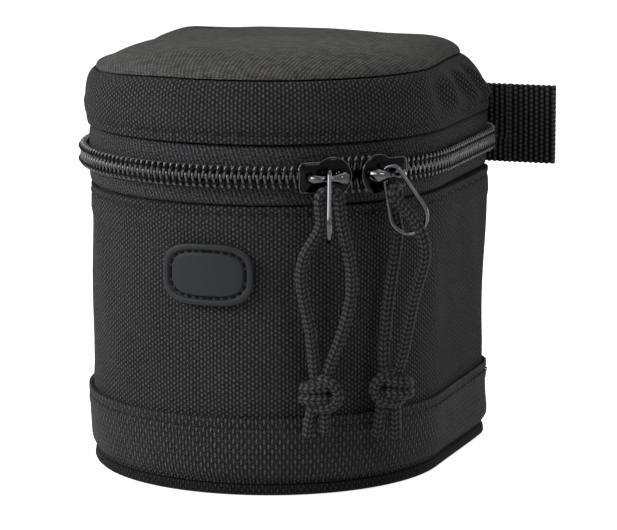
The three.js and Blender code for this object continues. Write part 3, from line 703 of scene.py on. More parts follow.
def disc(name, rings, place, material, runs, closing=(0.8, 0.6, 0.4, 0.2), shape=None):
    """A panel of the plan's outline, from rings of inset and height, closed towards its middle."""
    spots = [station(run) for run in runs[:-1]]
    size = len(spots)
    points, flat = [], []
    for (inset, z), far in zip(rings, lengths(rings)):
        for spot in spots:
            points.append(place(spot, inset, z))
            flat.append(plain_place(spot, rings[0][0] + far, 0)[:2])
    edge, flat_edge = points[-size:], flat[-size:]
    middle = place((0, 0, 0, 0, 0), 0, rings[-1][1])
    for share in closing:
        for point, (u, v) in zip(edge, flat_edge):
            points.append(tuple(m + (c - m) * share for m, c in zip(middle, point)))
            flat.append((u * share, v * share))
    points.append(middle)
    flat.append((0, 0))
    if shape:
        points = [shape(point) for point in points]
    faces = []
    count = len(rings) + len(closing)
    for i in range(count - 1):
        for j in range(size):
            k = (j + 1) % size
            faces.append((i * size + j, i * size + k, (i + 1) * size + k, (i + 1) * size + j))
    last = (count - 1) * size
    faces += [(last + j, last + (j + 1) % size, len(points) - 1) for j in range(size)]
    uvs = [tuple(flat[corner] for corner in face) for face in faces]
    return made(name, points, faces, uvs, material)


def tube(path, radius, sides, across=(0, 0, 1), closed=False):
    """Points, faces and lengths of a round bar; radius is a number, a list or f(length, turn)."""
    line = [Vector(p) for p in path]
    run = lengths([*line, line[0]] if closed else line)
    count = len(line)
    points, side = [], Vector(across)
    for i, centre in enumerate(line):
        after = line[(i + 1) % count] if closed else line[min(i + 1, count - 1)]
        before = line[i - 1] if closed else line[max(i - 1, 0)]
        along = (after - before).normalized()
        side = (side - along * side.dot(along)).normalized()
        other = along.cross(side)
        thick = radius[i] if isinstance(radius, list) else radius
        for turn in steps(0, TURN, sides)[:-1]:
            size = radius(run[i], turn) if callable(radius) else thick
            points.append(centre + side * size * math.cos(turn) + other * size * math.sin(turn))
    girth = steps(0, TURN * CORD_RADIUS, sides)
    faces, uvs = strip_faces(run, girth, closed, True)
    if not closed:
        add_caps(faces, uvs, sides, count)
    return points, faces, uvs


def joined(parts):
    """Several point, face and length lists as one."""
    points, faces, uvs = [], [], []
    for more_points, more_faces, more_uvs in parts:
        start = len(points)
        points += [tuple(p) for p in more_points]
        faces += [tuple(corner + start for corner in face) for face in more_faces]
        uvs += more_uvs
    return points, faces, uvs


def passing(a, b, start, end, time):
    """Where a steady move from a to b is at a time."""
    return a * ((end - time) / (end - start)) + b * ((time - start) / (end - start))


def curve_through(places, spacing=0.35):
    """A smooth line through places, whose speed follows the gaps between them."""
    places = [Vector(p) for p in places]
    ends = [2 * places[0] - places[1], *places, 2 * places[-1] - places[-2]]
    line = []
    for a, b, c, d in zip(ends, ends[1:], ends[2:], ends[3:]):
        ta, tb = 0.0, (b - a).length ** 0.5
        tc = tb + (c - b).length ** 0.5
        td = tc + (d - c).length ** 0.5
        count = max(2, round((c - b).length / spacing))
        for i in range(count):
            t = tb + (tc - tb) * i / count
            bc = passing(b, c, tb, tc, t)
            before = passing(passing(a, b, ta, tb, t), bc, ta, tc, t)
            after = passing(bc, passing(c, d, tc, td, t), tb, td, t)
            line.append(passing(before, after, tb, tc, t))
    return [*line, places[-1]]


FINE = steps(-HALF_RUN, HALF_RUN, 420)
COARSE = steps(-HALF_RUN, HALF_RUN, 168)


def runs_between(start, end, spacing):
    return steps(start, end, max(2, round((end - start) / spacing)))


def back_runs(spacing):
    """Along the flat back, from one upright seam to the other."""
    return runs_between(SEAM_RUN + FIT, 2 * HALF_RUN - SEAM_RUN - FIT, spacing)


# Cords: places are sideways, outward and down from the bridge


def outward(azimuth):
    return Vector((math.sin(azimuth), -math.cos(azimuth), 0))


def sideways(azimuth):
    return Vector((math.cos(azimuth), math.sin(azimuth), 0))


def bridge_at(azimuth):
    return outward(azimuth) * BRIDGE_OUT + Vector((0, ARC_Y, ZIP_LEVEL))


def cord_place(azimuth, place):
    across, out, down = place
    beside = bridge_at(azimuth) + sideways(VIEW_AZIMUTH) * across
    return beside + outward(azimuth) * out - Vector((0, 0, down))


def braid(run, turn):
    """Radius of a braided cord: slanted strands that meet in V shapes."""
    column = turn / TURN * BRAID_COLUMNS
    fold = 1 - abs(column % 2 - 1)
    strand = abs(math.sin(math.pi * (run / BRAID_ROW + 0.5 * fold)))
    edge = abs(math.sin(math.pi * column)) ** 0.5
    return CORD_RADIUS - 0.25 + 0.4 * strand**0.7 * edge


def cord_leg(pull, index):
    """From the bight in the wire loop down one side, through the knot and out as a tail."""
    azimuth, twist = pull["azimuth"], pull["twist"]
    lean = BIGHT_DROP * (END_RADIUS - NECK_RADIUS) / PULL_LENGTH
    top = bridge_at(azimuth) + outward(azimuth + twist) * lean
    hand = -1 if index == 0 else 1
    bight = []
    for turn in steps(0, QUARTER, 3):
        across = sideways(azimuth + twist) * (BIGHT_HALF * math.sin(turn) * hand)
        bight.append(top + across - Vector((0, 0, BIGHT_DROP + BIGHT_HALF * (1 - math.cos(turn)))))
    legs = [cord_place(azimuth, place) for place in pull["legs"][index]]
    tail = pull["knot"] + TAIL_SPREAD[index]
    end = TAIL_TOP + pull["tails"][index]
    ends = [
        (pull["knot"] * 0.5 + tail * 0.5, -KNOT_SUNK, KNOT_DROP + 1),
        (tail, -KNOT_SUNK, TAIL_TOP),
        (tail + TAIL_SPLAY[index], -KNOT_SUNK, end),
    ]
    return curve_through([*bight, *legs, *(cord_place(azimuth, place) for place in ends)])


# Sideways, height, half width, half depth and slant of each turn
KNOT_RINGS = ((-0.9, 1.75, 3.5, 2.1, 0.14), (-0.9, -1.4, 3.6, 2.1, 0.02))
# Sideways, outward and height of the strand that locks them
KNOT_ARC = (
    (-1.6, -1.2, 3.1), (0.2, 1.0, 3.6), (2.4, 2.0, 3.0), (4.1, 2.1, 1.1), (4.3, 2.0, -1.0),
    (3.0, 1.9, -2.9), (0.9, 1.7, -3.7), (-1.2, 0.4, -3.7), (-2.4, -1.2, -3.3),
)


def knot_mesh(pull):
    """An overhand knot of the doubled cord: two turns side by side, and one that locks them."""
    centre = cord_place(pull["azimuth"], (pull["knot"], -KNOT_SUNK, KNOT_DROP))
    wide, deep = sideways(VIEW_AZIMUTH) * pull["side"], outward(VIEW_AZIMUTH)

    def at(x, out, z):
        return centre + wide * x + deep * out + Vector((0, 0, z))

    parts = []
    for across, rise, half_width, half_depth, slant in KNOT_RINGS:
        path = []
        for turn in steps(0, TURN, 48)[:-1]:
            x = half_width * math.cos(turn)
            path.append(at(across + x, half_depth * math.sin(turn), rise + slant * x))
        parts.append(tube(path, braid, 32, closed=True))
    parts.append(tube(curve_through([at(*place) for place in KNOT_ARC], 0.25), braid, 32))
    return joined(parts)


def add_cords():
    for name, pull in PULLS.items():
        body = f"{name}_pull"
        knot = made(f"{name}_knot_turns", *knot_mesh(pull), CORD)
        dress(knot, body, "cord", f"cord_knot_{name}")
        for index in (0, 1):
            path = cord_leg(pull, index)
            leg = made(f"{name}_cord_{index + 1}", *tube(path, braid, 32), CORD)
            nodes = [f"cord_tail_{name}_{index + 1}"]
            if index == 0:
                nodes.append(f"pull_cord_{name}")
            dress(leg, body, "cord", *nodes)
            line = [tuple(p * MM) for p in path]
            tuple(line[0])
            round(lengths(line)[-1], 4)


# Body, base and lid


def ripple(run, z, size=1.0):
    """The slight waviness of cloth over foam."""
    turn = math.pi * run / HALF_RUN
    low = 0.2 * math.sin(3 * turn + z * 0.04) + 0.13 * math.sin(8 * turn - z * 0.07 + 1.7)
    return size * (low + 0.08 * math.sin(19 * turn + z * 0.16 + 0.6))


def pinch(run, off):
    """The furrow along a row of stitches, deeper at each stitch."""
    return hump(off, 0.6) * (0.7 + 0.3 * math.cos(TURN * run / STITCH_PITCH))


def hem(z, edge, inwards, stitch, run):
    """A folded and topstitched edge."""
    far = (z - edge) * inwards
    return 0.42 * smooth((8.5 - far) / 2.2) - 0.62 * pinch(run, far - stitch)


def seam_roll(run):
    """The cloth rolls in at the upright seams of the back corners."""
    far = abs(abs(run) - SEAM_RUN)
    return 0.35 * hump(far - 2.6, 1.8) - 0.75 * hump(far, 1.0)


def flare(run, z):
    """The right side leans out towards the top, the left side in; both change above the band."""
    right, left = hump(run - 104, 26), hump(run + 84, 26)
    lean = 0.9 * smooth((z - 48) / 26)
    return right * (lean - 0.75 * hump(z - 36, 17)) + left * (0.7 * hump(z - 38, 14) - lean)


def body_relief(run, z):
    calm = smooth((z - BAND_TOP) / 6) * smooth((BODY_EDGE - z) / 9)
    edge = hem(z, BODY_EDGE, -1, BODY_STITCH, run)
    return edge + seam_roll(run) + ripple(run, z, 1.3) * calm + flare(run, z)


def foot_swell(run):
    """The foot bulges at the left and, further back, at the right."""
    return hump(run + 86, 26) + hump(run - 118, 30)


def band_relief(run, z):
    top = 0.25 * smooth((z - BAND_TOP + 5.6) / 1.2) - 0.5 * pinch(run, BAND_TOP - z - BAND_STITCH)
    roll = 1.0 - smooth((z - FOOT) / 3.6)
    full = foot_swell(run) * smooth((13 - z) / 8)
    ease = 0.8 * hump(run - 100, 24) * smooth((z - 8) / 8)
    calm = smooth((BAND_TOP - z - 6) / 4)
    return top + full - ease - 1.1 * roll * roll + ripple(run, z, 0.5) * calm


# Where each pucker of the lid's right side starts and ends, its height and its width
PUCKERS = ((78, 82, 1.9, 4.6), (95, 106, 1.8, 3.8), (110, 120, 1.3, 3.0))


def lid_relief(run, z):
    rise = (z - LID_EDGE) / (LID_SEAM - LID_EDGE)
    grown = smooth((rise - 0.1) / 0.35)
    pull = 0.0
    for top, foot, height, width in PUCKERS:
        off = run - (foot + (top - foot) * clamp((rise - 0.25) / 0.7))
        pull += height * hump(off, width) * grown
        pull -= 0.6 * height * hump(off + width * 1.8, width * 0.9) * grown
    calm = smooth(rise / 0.4) * smooth((1 - rise) / 0.2)
    return hem(z, LID_EDGE, 1, LID_STITCH, run) + pull * smooth((1 - rise) / 0.3) + ripple(run, z, 1.1) * calm


def crown_corner(share, depth=0.0):
    turn = share * QUARTER
    return (
        CROWN_INSET + depth + (CROWN_RUN - depth) * (1 - math.cos(turn)),
        CROWN_FOOT + (CROWN_SHOULDER - depth) * math.sin(turn),
    )


def top_shape(point):
    """The padded top: a low dome with slack hollows and soft ridges, lower on the left."""
    x, y, z = point
    dome = clamp(1 - (x / 46) ** 2 - ((y + 6.2) / 43) ** 2)
    soft = noise.noise(Vector((x, y, 0)) * 0.045) * 0.4 + noise.noise(Vector((x, y, 9)) * 0.12) * 0.25
    left = 1.3 * smooth((-x - 33) / 11) * smooth((z - CROWN_FOOT + 1) / 3)
    return x, y, z + (soft + 1.2) * smooth(dome * 1.4) - left


def rim_edge(foot):
    """The rounded outer edge of a lining's rim."""
    top = foot + RIM_CLOTH
    return [(RIM_INSET + 0.4, foot), (RIM_INSET, foot + 0.2), (RIM_INSET, foot + 0.5), (RIM_INSET + 0.4, top)]


def add_body():
    levels = [FOOT, *steps(FOOT + 2, BAND_TOP, 8), *steps(BAND_TOP + 1.5, BODY_EDGE - 7, 26)]
    levels += steps(BODY_EDGE - 6.5, BODY_EDGE - 0.15, 14)
    section = cloth_section(levels, CLOTH, body_relief)
    for name, runs in (("wrap", runs_between(-SEAM_RUN, SEAM_RUN, 0.85)), ("back", back_runs(0.85))):
        obj = loft(f"{name}_cloth", runs, section, body_place, SHELL)
        dress(obj, "pouch", "shell_weave", f"body_{name}_panel")
    foam = [(FOAM_INSET + 0.8, FOAM_FOOT), (FOAM_INSET + 0.8, FOOT), (FOAM_INSET, FOOT + 0.8)]
    foam += [(FOAM_INSET, RECESS_FOOT - 1.5), (RECESS_INSET, RECESS_FOOT), (RECESS_INSET, FOAM_TOP)]
    foam += [(FOAM_INNER, z) for z in (FOAM_TOP, FOOT + TUCK_HEIGHT, FOAM_FOOT)]
    dress(loft("wall_foam", COARSE, foam, body_place, FOAM, True), "pouch", "foam", "body_foam_wall")
    rim = FOAM_TOP + FIT
    inner = FOAM_INNER + FIT
    skin = inner + CLOTH
    top = rim + RIM_CLOTH
    lining = [(inner, LINING_FOOT), (inner, rim), *rim_edge(rim), (skin - 1.4, top), (skin - 0.4, top - 0.35)]
    lining += [(skin, rim - 0.6), (skin + 0.25, rim - 8), (skin + 0.1, LINING_MIDDLE)]
    lining += [(skin, FOOT + TUCK_HEIGHT), (skin, LINING_FOOT)]
    dress(loft("wall_lining", COARSE, lining, body_place, LINING, True), "pouch", "lining", "body_lining")
    rings = [(inner + 1, 7.6), (inner + FIT, 7.7), (inner + FIT, 8.4), (inner + 0.7, 8.5), (inner + 3, 8.45)]
    dress(disc("floor_lining", rings, body_place, LINING, COARSE), "pouch", "lining", "base_lining")
    rings = [(inner + 2, FOAM_FOOT), (inner, FOAM_FOOT), (inner, 7.3), (inner + 2, 7.3)]
    dress(disc("floor_foam", rings, body_place, FOAM, COARSE), "pouch", "foam", "base_foam")


def add_base():
    levels = [*steps(FOOT, BAND_TOP - 6, 14), *steps(BAND_TOP - 5.6, BAND_TOP - 0.1, 12)]
    section = cloth_section(levels, CLOTH - 0.1, band_relief, -BAND_OUT, 0.3)
    dress(loft("foot_band", FINE, section, body_place, BAND, True), "pouch", "band_weave", "base_band")

    def binding(run):
        puff = 0.16 * math.cos(TURN * run / STITCH_PITCH)
        near, far = BINDING_INSET - 0.8 * foot_swell(run), BINDING_INSET + BINDING_WIDTH
        low, high = BINDING_FOOT, BINDING_TOP
        middle = (low + high) / 2
        bulge = [(near - 0.05 - puff * 0.3, middle - 0.5), (near + 0.1 + puff * 0.4, middle + 0.4)]
        lower = [(far, low), (near + 0.7, low), (near + 0.15, low + 0.5)]
        return [*lower, *bulge, (near + 0.2, high - 0.5), (near + 0.8, high), (far, high)]

    dress(loft("foot_binding", FINE, binding, plain_place, BINDING, True), "pouch", "binding", "base_binding")
    edge = BINDING_INSET + BINDING_WIDTH + FIT
    rings = [(edge + 1.5, 1), (edge, 0.9), (edge, 0.25), (edge + 0.4, 0), (edge + 2, 0)]
    obj = disc("foot_panel", rings, plain_place, BAND, COARSE)
    obj.data.flip_normals()
    dress(obj, "pouch", "band_weave", "base_panel")


def add_lid():
    levels = [*steps(LID_EDGE + 0.1, LID_EDGE + 6.5, 15), *steps(LID_EDGE + 7.2, LID_SEAM - 1.3, 11)]
    levels += [LID_SEAM - 0.8, LID_SEAM - 0.4, LID_SEAM]
    section = cloth_section(levels, CLOTH, lid_relief)
    dress(loft("lid_side", FINE, section, lid_place, SHELL, True), "lid", "shell_weave", "lid_side_band")
    under = [crown_corner(share, CLOTH) for share in (0.6, 0.3, 0.0)]
    over = [crown_corner(share) for share in steps(0, 1, 14)]
    rings = [*under, (over[0][0] + 0.35, over[0][1] - 0.1), *over]
    runs = runs_between(-HALF_RUN, HALF_RUN, 1.2)
    shares = steps(0.94, 0.06, 14)
    # The top panel takes the top weave, whose colours are painted lighter and warmer as light from above.
    top = disc("lid_top", rings, lid_place, TOP_LIT_WEAVE, runs, shares, top_shape)
    dress(top, "lid", "top_weave", "lid_top_panel")
    inset = FOAM_INSET + FIT
    rings = [(inset + 2, TOP_FOAM_FOOT), (inset, TOP_FOAM_FOOT), (inset, 108.6)]
    rings += [crown_corner(share, CLOTH + FIT) for share in steps(0, 1, 5)]
    foam_top = disc("top_foam", rings, lid_place, FOAM, COARSE, shape=top_shape)
    dress(foam_top, "lid", "foam", "lid_foam_top")
    ceiling = TOP_FOAM_FOOT - FIT
    foam = [(RECESS_INSET, LID_FOAM_FOOT), (RECESS_INSET, RECESS_TOP), (FOAM_INSET, RECESS_TOP + 1.5)]
    foam += [(FOAM_INSET, ceiling), (LID_FOAM_INNER, ceiling)]
    foam += [(LID_FOAM_INNER, z) for z in (LID_EDGE + 4, LID_EDGE, LID_FOAM_FOOT)]
    dress(loft("lid_foam", COARSE, foam, lid_place, FOAM, True), "lid", "foam", "lid_foam_wall")
    rim = LID_FOAM_FOOT - FIT - RIM_CLOTH
    inner = LID_FOAM_INNER + FIT
    skin = inner + CLOTH
    foot = ceiling - CLOTH
    lining = [*rim_edge(rim), (inner, rim + RIM_CLOTH), (inner, LID_EDGE), (inner, foot - FIT)]
    lining += [(skin, foot - FIT), (skin, LID_EDGE), (skin, rim + 0.8)]
    lining += [(skin - 0.4, rim + 0.3), (skin - 1.4, rim)]
    dress(loft("lid_wall_lining", COARSE, lining, lid_place, LINING, True), "lid", "lining", "lid_lining")
    rings = [(inner + 1, ceiling), (inner, ceiling - 0.2), (inner, foot + 0.2)]
    rings += [(inner + 0.6, foot), (inner + 3, foot)]
    obj = disc("lid_ceiling", rings, lid_place, LINING, COARSE)
    obj.data.flip_normals()
    dress(obj, "lid", "lining", "lid_top_lining")


def folded(face):
    """The section of a tape or strip whose outer face is given."""
    return [*face, *[(inset + TAPE_CLOTH, z) for inset, z in reversed(face)]]


def add_hinge():
    """The cloth between body and lid, along the back where the lid turns."""
    root = ((FOAM_INSET, -5), (FOAM_INSET, FIT), (0.3, 1.4), (-FIT, 2.2))
    face = [(inset, BODY_EDGE + far) for inset, far in root]
    face += [(-FIT - 0.1, z) for z in steps(BODY_EDGE + 3.2, LID_EDGE - 3.2, 16)]
    face += [(inset, LID_EDGE - far) for inset, far in reversed(root)]
    obj = loft("hinge_cloth", back_runs(1.6), folded(face), lid_place, SHELL)
    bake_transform(obj)
    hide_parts("hinge_strip")


def stitch(start, end, out, radius=STITCH_RADIUS, lift=STITCH_DIP):
    """One stitch: a short thread that rises out of the cloth and dives back in."""
    path = []
    for share in steps(0, 1, 6):
        rise = lift * math.sin(math.pi * share) ** 0.5 - STITCH_DIP
        path.append(start.lerp(end, share) + out * rise)
    return tube(path, [radius * size for size in (0.4, 0.8, 1, 1, 1, 0.8, 0.4)], 6, across=out)


def stitch_row(name, body, height, place, out_by):
    parts = []
    for run in runs_between(-HALF_RUN, HALF_RUN - STITCH_PITCH, STITCH_PITCH):
        start, end = (Vector(place(station(r), -out_by, height)) for r in (run, run + STITCH_LENGTH))
        parts.append(stitch(start, end, way_out(station(run + STITCH_LENGTH / 2))))
    dress(made(name, *joined(parts), THREAD), body, "binding")


def add_stitches():
    stitch_row("lid_hem_stitches", "lid", LID_EDGE + LID_STITCH, lid_place, 0.12)
    stitch_row("body_hem_stitches", "pouch", BODY_EDGE - BODY_STITCH, body_place, 0.08)
    stitch_row("band_stitches", "pouch", BAND_TOP - BAND_STITCH, body_place, BAND_OUT + 0.02)


# Zip


# Inset of a tape's outer face, and how far it lies past the hem's edge
TAPE_FACE = ((FOAM_INSET, -5), (FOAM_INSET, 0.1), (0.3, 0.5), (-0.2, 1.1), (-0.45, 2.2), (-0.5, 3.6))


# Each half of the zip: its name, the way from the middle, how it follows the cloth, and its body
HALVES = (("lower", -1, body_place, "pouch"), ("upper", 1, lid_place, "lid"))


def tape_section(side):
    edge = BODY_EDGE if side < 0 else LID_EDGE

    def section(run):
        face = [(inset, edge - side * far) for inset, far in TAPE_FACE]
        face.append((TAPE_FACE[-1][0], ZIP_LEVEL + side * (1.3 + station(run)[4])))
        return folded(face) if side < 0 else folded(face)[::-1]

    return section


def add_tapes():
    """Each tape comes out from behind a hem and carries its half of the chain."""
    end = CHAIN_HALF_LENGTH - TAPE_SHORT
    runs = runs_between(-end, end, 1.0)
    for name, side, place, body in HALVES:
        obj = loft(f"{name}_tape", runs, tape_section(side), place, TAPE)
        dress(obj, body, "zip_tape", f"zip_tape_{name}")


# One element of the coil: along in pitches, height from the chain's middle, depth as a share
ELEMENT = (
    (-0.5, 2.6, 0.3), (-0.42, 2.85, 0.7), (-0.3, 2.6, 1.0), (-0.17, 1.5, 1.0),
    (-0.04, 0.3, 1.0), (0.0, -0.42, 0.88), (0.02, -0.66, 0.5), (0.02, -0.42, 0.12),
    (0.0, 0.3, 0.0), (0.02, 1.5, 0.0), (0.1, 2.3, 0.0), (0.3, 2.55, 0.1),
)


def chain_place(side, index, out, height):
    """A place on the chain; index counts elements along its half."""
    spot = station(((side / 2 - ELEMENTS) / 2) * PITCH + index * PITCH, COIL_MIDDLE)
    return plain_place(spot, -out, ZIP_LEVEL + side * (height + spot[4])), way_out(spot)


def coil_mesh(side):
    """Half of the chain: one thread that runs to the middle and back for each element."""
    outer, inner = COIL_OUTER - FILAMENT, COIL_INNER + FILAMENT
    path, swell = [], []
    for i in range(ELEMENTS):
        for along, height, depth in reversed(ELEMENT):
            path.append(chain_place(side, i - along, inner + (outer - inner) * depth, height)[0])
            swell.append(FILAMENT * (1.0 + 0.2 * hump(height + 0.3, 0.5)))
    return tube(path, swell, 7)


def thread_rows(side):
    """The sewing thread that holds the coil down, over each element's root."""
    parts = []
    for i in range(ELEMENTS - 1):
        ends = [Vector(chain_place(side, i + share, COIL_OUTER + 0.05, 1.75)[0]) for share in (0.12, 0.92)]
        parts.append(stitch(*ends, chain_place(side, i + 0.5, 0, 0)[1], 0.4, 0.2))
    return joined(parts)


def add_chain():
    for name, side, _, body in HALVES:
        dress(made(f"{name}_coil", *coil_mesh(side), COIL), body, "zip_coil", f"zip_coil_{name}")
        dress(made(f"{name}_coil_thread", *thread_rows(side), CHAIN_THREAD), body, "zip_tape")
    for node in ("zip_stop_left", "zip_stop_right"):
        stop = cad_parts[node]
        stop.data.materials.clear()
        stop.data.materials.append(GUNMETAL)
        bevel = stop.modifiers.new("edges", "BEVEL")
        bevel.width = 0.25 * MM
        bevel.segments = 3


# Sliders: x is along the zip with the nose at +x, out is away from the pouch


def slider_half_width(x, margin):
    """Half the plate's width at x: a straight tail that runs into a round nose."""
    corner = margin - SLIDER_HALF + TAIL_ROUND
    half = math.sqrt(max(0.0, (NOSE_RADIUS - margin) ** 2 - (x - NOSE_X) ** 2))
    if x < NOSE_X:
        half = max(half, TAIL_HALF - margin)
    if x < corner:
        half -= TAIL_ROUND - math.sqrt(max(0.0, TAIL_ROUND**2 - (corner - x) ** 2))
    return max(half, 0.02)


def plate_loop(xs, margin):
    """Places round the plate, up one side and down the other."""
    one_side = [(x, -slider_half_width(x, margin)) for x in xs]
    return one_side + [(x, -z) for x, z in reversed(one_side)]


def plate_mesh(profile, level, to_world, sides=34):
    """A plate from rings of margin and height."""
    points = []
    for margin, rise in profile:
        xs = [-math.cos(math.pi * share) * (SLIDER_HALF - margin) for share in steps(0, 1, sides)]
        points += [to_world(x, level + rise, z) for x, z in plate_loop(xs, margin)]
    size = 2 * (sides + 1)
    faces, uvs = strip_faces(steps(0, 1, len(profile) - 1), steps(0, 40, size), False, True)
    add_caps(faces, uvs, size, len(profile))
    return points, faces, uvs


FRONT_PLATE = (
    (1.2, 0), (0.35, 0), (0.08, 0.1), (0, 0.35), (0.05, 0.65),
    (0.3, 0.95), (0.8, 1.15), (1.8, 1.25), (3.2, 1.32),
)
BACK_PLATE = ((1.6, 0), (0.9, 0), (0.65, 0.2), (0.6, 0.55), (0.65, 0.9), (0.9, 1.1), (1.8, 1.1))
# The bridge's line: along, above the plate and thickness
BRIDGE = (
    (-3.9, -0.6, 1.6), (-3.95, 1.0, 1.6), (-3.8, 2.2, 1.6), (-3.2, 3.0, 1.45),
    (-2.2, 3.3, 1.15), (-0.8, 3.35, 0.95), (0.8, 3.35, 1.0), (1.9, 3.3, 1.5),
    (2.9, 3.1, 2.0), (3.8, 2.5, 2.2), (4.1, 1.2, 2.2), (4.1, -0.6, 2.1),
)


def slider_mesh(azimuth, side):
    out_way, along_way = outward(azimuth), sideways(azimuth)

    def to_world(x, out, z):
        return out_way * out + along_way * (x * side) + Vector((0, ARC_Y, ZIP_LEVEL + z * side))

    parts = [plate_mesh(FRONT_PLATE, PLATE_OUT, to_world), plate_mesh(BACK_PLATE, BACK_PLATE_OUT, to_world)]
    for hand in (-1, 1):
        lip = [to_world(x, PLATE_OUT - 0.9, hand * (3.55 + 0.05 * x)) for x in (-7.0, -3.6, -0.6)]
        parts.append(tube(lip, [0.45, 0.55, 0.3], 10))
    divider = [to_world(DIVIDER_X, out, 0) for out in (47.6, 50, 52.6)]
    parts.append(tube(divider, 0.8, 14, across=along_way))
    line = curve_through([to_world(x, PLATE_OUT + 1.2 + out, 0) for x, out, _ in BRIDGE], 0.3)
    sizes = curve_through([(x, radius, 0) for x, _, radius in BRIDGE], 0.3)
    share = (len(sizes) - 1) / (len(line) - 1)
    thick = [sizes[round(i * share)].y for i in range(len(line))]
    # A thin rim round the plate's edge goes with the bridge and its lighter metal: a painted highlight along
    # the edge.
    rim = [to_world(x, PLATE_OUT + 0.85, z) for x, z in plate_loop(steps(-7.05, 7.05, 60), 0.12)]
    bridge = [tube(line, thick, 18), tube(rim, 0.17, 8, across=out_way, closed=True)]
    return joined(parts), joined(bridge)


def wire_mesh(pull):
    """A teardrop of wire round the bridge; its ends meet under the bar."""
    lean = math.asin((END_RADIUS - NECK_RADIUS) / PULL_LENGTH)
    azimuth, way = pull["azimuth"], pull["azimuth"] + pull["twist"]
    turned = Matrix.Rotation(pull["swing"], 3, "Z")
    path = []

    def add(out, rise, radius, turn):
        flat = turned @ Vector((out + radius * math.cos(turn), rise + radius * math.sin(turn), 0))
        path.append(bridge_at(azimuth) + outward(way) * flat.x + Vector((0, 0, flat.y)))

    for turn in steps(2 * lean, math.pi, 22):
        add(0, 0, NECK_RADIUS, turn)
    end_out, end_rise = PULL_LENGTH * math.sin(lean), -PULL_LENGTH * math.cos(lean)
    for turn in steps(math.pi, TURN + 2 * lean, 34):
        add(end_out, end_rise, END_RADIUS, turn)
    return tube(path, WIRE_RADIUS, 14, across=sideways(way), closed=True)


def add_sliders():
    for name, pull in PULLS.items():
        plates, bridge = slider_mesh(pull["azimuth"], pull["side"])
        body = f"{name}_slider"
        dress(made(f"{name}_slider_body", *plates, GUNMETAL, 40), body, "gunmetal", f"slider_{name}")
        # The bridge and rim take the lighter metal, a painted highlight on the slider's gunmetal.
        dress(made(f"{name}_slider_bridge", *bridge, LIT_BRIDGE_METAL), body, "gunmetal")
        wire = made(f"{name}_wire", *wire_mesh(pull), STEEL)
        dress(wire, f"{name}_pull", "wire", f"pull_wire_{name}")


# Webbing, belt loop and badge


def ribs(run, across, width):
    """Height of the webbing's ribs, each a row of short stitches of yarn."""
    rib = abs(math.sin(math.pi * run / RIB_PITCH))
    row = math.floor(run / RIB_PITCH) % 2
    bump = abs(math.sin(math.pi * (across / BUMP_PITCH + row / 2)))
    edge = smooth(across / 0.7) * smooth((width - across) / 0.7)
    return (0.5 * rib**0.6 * (0.6 + 0.4 * bump**0.7) - 0.25) * (0.35 + 0.65 * edge)


def webbing(name, line, width, place, half=WEB_HALF - 0.12, spacing=0.3):
    """A ribbed strap along a flat line; place turns line coordinates and a width into a point."""
    path = curve_through([(x, y, 0) for x, y in line], 0.26)
    run = lengths(path)
    rows = steps(0, width, round(width / spacing))
    points = []
    for i, spot in enumerate(path):
        along = path[min(i + 1, len(path) - 1)] - path[max(i - 1, 0)]
        normal = Vector((along.y, -along.x, 0)).normalized()
        bump = EDGE_BUMP * abs(math.sin(math.pi * run[i] / RIB_PITCH))
        for side, order in ((1, rows), (-1, reversed(rows))):
            for across in order:
                high = side * (half + ribs(run[i], across, width))
                level = across + bump * (2 * across / width - 1) ** 9
                points.append(place(spot.x + normal.x * high, spot.y + normal.y * high, level))
    vs = [*rows, *(width + 1 + r for r in rows), 2 * width + 2]
    faces, uvs = strip_faces(run, vs, False, True)
    add_caps(faces, uvs, 2 * len(rows), len(path))
    return made(name, points, faces, uvs, WEB, 75)


def upright(foot):
    return lambda x, y, across: (x, y, foot + across)


def tab_line():
    """Out along one side of the tab, round its bend and back."""
    bend = TAB_END - TAB_HALF
    line = [(TAB_ROOT, BACK_Y - TAB_HALF), (bend - 4, BACK_Y - TAB_HALF)]
    for turn in steps(-QUARTER, QUARTER, 6):
        line.append((bend - WEB_HALF + TAB_HALF * math.cos(turn), BACK_Y + TAB_HALF * math.sin(turn)))
    return [*line, (bend - 4, BACK_Y + TAB_HALF), (TAB_ROOT, BACK_Y + TAB_HALF)]


def add_tab():
    """The folded tab at the back corner; its tongue is sewn to the body, with its root above it."""
    tab = webbing("tab_webbing", tab_line(), TAB_TOP - BODY_EDGE, upright(BODY_EDGE))
    dress(tab, "pouch", "webbing", "webbing_tab")
    end = TAB_ROOT + 0.4
    for y, name in ((BACK_Y - TAB_HALF, "front"), (BACK_Y + TAB_HALF, "back")):
        line = [(TONGUE_START, y), (46, y), (end, y)]
        tongue = webbing(f"tab_tongue_{name}", line, TONGUE_TOP - BODY_EDGE, upright(BODY_EDGE))
        dress(tongue, "pouch", "webbing")
        line = [(ROOT_START, y), (48, y), (end, y)]
        root = webbing(f"tab_root_{name}", line, TAB_TOP - TONGUE_TOP, upright(TONGUE_TOP))
        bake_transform(root)


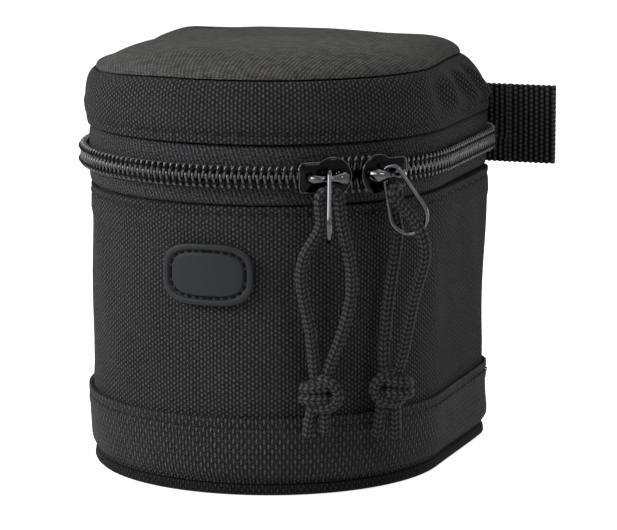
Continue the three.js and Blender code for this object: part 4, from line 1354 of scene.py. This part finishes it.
def add_belt_loop():
    """The strap on the back, sewn down at both ends."""
    far, half = BELT_NEAR + BELT_GAP, BELT_WIDTH / 2
    sewn = BELT_FOOT + BELT_SEWN
    face = [(BELT_NEAR, BELT_FOOT), (BELT_NEAR, sewn), (BELT_NEAR + BELT_GAP * 0.85, sewn + BELT_RISE * 0.9)]
    face += [(far, sewn + BELT_RISE + 3), (far, BELT_FOOT + BELT_HEIGHT / 2)]
    line = [*face, *[(y, 2 * BELT_FOOT + BELT_HEIGHT - z) for y, z in reversed(face[:-1])]]
    loop = webbing("belt_strap", line, BELT_WIDTH, lambda y, z, across: (across - half, y, z), 0.68, 0.4)
    dress(loop, "pouch", "webbing", "belt_loop")
    parts = []
    for rise in (1.3, 4.7, BELT_HEIGHT - 4.7, BELT_HEIGHT - 1.3):
        for i in range(BELT_STITCHES):
            start = 1.6 - half + i * STITCH_PITCH
            ends = [Vector((x, BELT_NEAR + 0.98, BELT_FOOT + rise)) for x in (start, start + 2.4)]
            parts.append(stitch(*ends, Vector((0, 1, 0))))
    dress(made("belt_strap_stitches", *joined(parts), THREAD), "pouch", "binding")


def badge_place(across, above, height):
    return plain_place(arc_station(across / HALF_WIDTH), -FIT - height, BADGE_LEVEL + above)


def badge_edge(turn, inset, share=1.0):
    def squared(value):
        return math.copysign(abs(value) ** 0.62, value)

    half_width, half_height = BADGE_WIDTH / 2 - inset, BADGE_HEIGHT / 2 - inset
    return half_width * share * squared(math.cos(turn)), half_height * share * squared(math.sin(turn))


# Inset and height of the badge's face, from its edge inwards
BADGE_FACE = (
    (0.3, 0.0), (0, 0.25), (0, 1.2), (0.12, 1.5), (0.35, 1.66), (0.8, 1.7), (1.25, 1.66), (1.5, 1.5),
    (1.62, 1.15), (1.75, 0.95), (2.1, 0.9), (2.35, 0.95), (2.5, 1.15), (2.62, 1.32), (2.85, 1.4),
)


def add_badge():
    """A moulded rubber plate: raised rim, stitched groove and a bare raised panel."""
    rings = [(*place, 1) for place in BADGE_FACE]
    rings += [(*BADGE_FACE[-1], share) for share in (0.85, 0.6, 0.35, 0.12)]
    size = 96
    points = []
    for inset, height, share in rings:
        for turn in steps(0, TURN, size)[:-1]:
            points.append(badge_place(*badge_edge(turn, inset, share), height))
    faces, uvs = strip_faces(steps(0, 8, len(rings) - 1), steps(0, 60, size), False, True)
    faces.append(range(len(points) - size, len(points)))
    uvs.append(((0, 0),) * size)
    faces, uvs = ([tuple(corners)[::-1] for corners in group] for group in (faces, uvs))
    dress(made("badge_plate", points, faces, uvs, RUBBER), "pouch", "rubber", "badge")
    groove = [Vector(badge_place(*badge_edge(turn, 2.05), 1.0)) for turn in steps(0, TURN, 240)]
    far = lengths(groove)
    parts, pitch = [], far[-1] / BADGE_STITCHES
    for i in range(BADGE_STITCHES):
        ends = []
        for share in (0.14, 0.86):
            wanted = (i + share) * pitch
            ends.append(groove[min(range(len(far)), key=lambda k: abs(far[k] - wanted))])
        parts.append(stitch(*ends, way_out(arc_station(ends[0].x / HALF_WIDTH)), 0.3))
    dress(made("badge_stitches", *joined(parts), CHAIN_THREAD), "pouch", "binding")


stage_scene()
add_cords()
add_body()
add_base()
add_lid()
add_hinge()
add_stitches()
add_tapes()
add_chain()
add_sliders()
add_tab()
add_belt_loop()
add_badge()
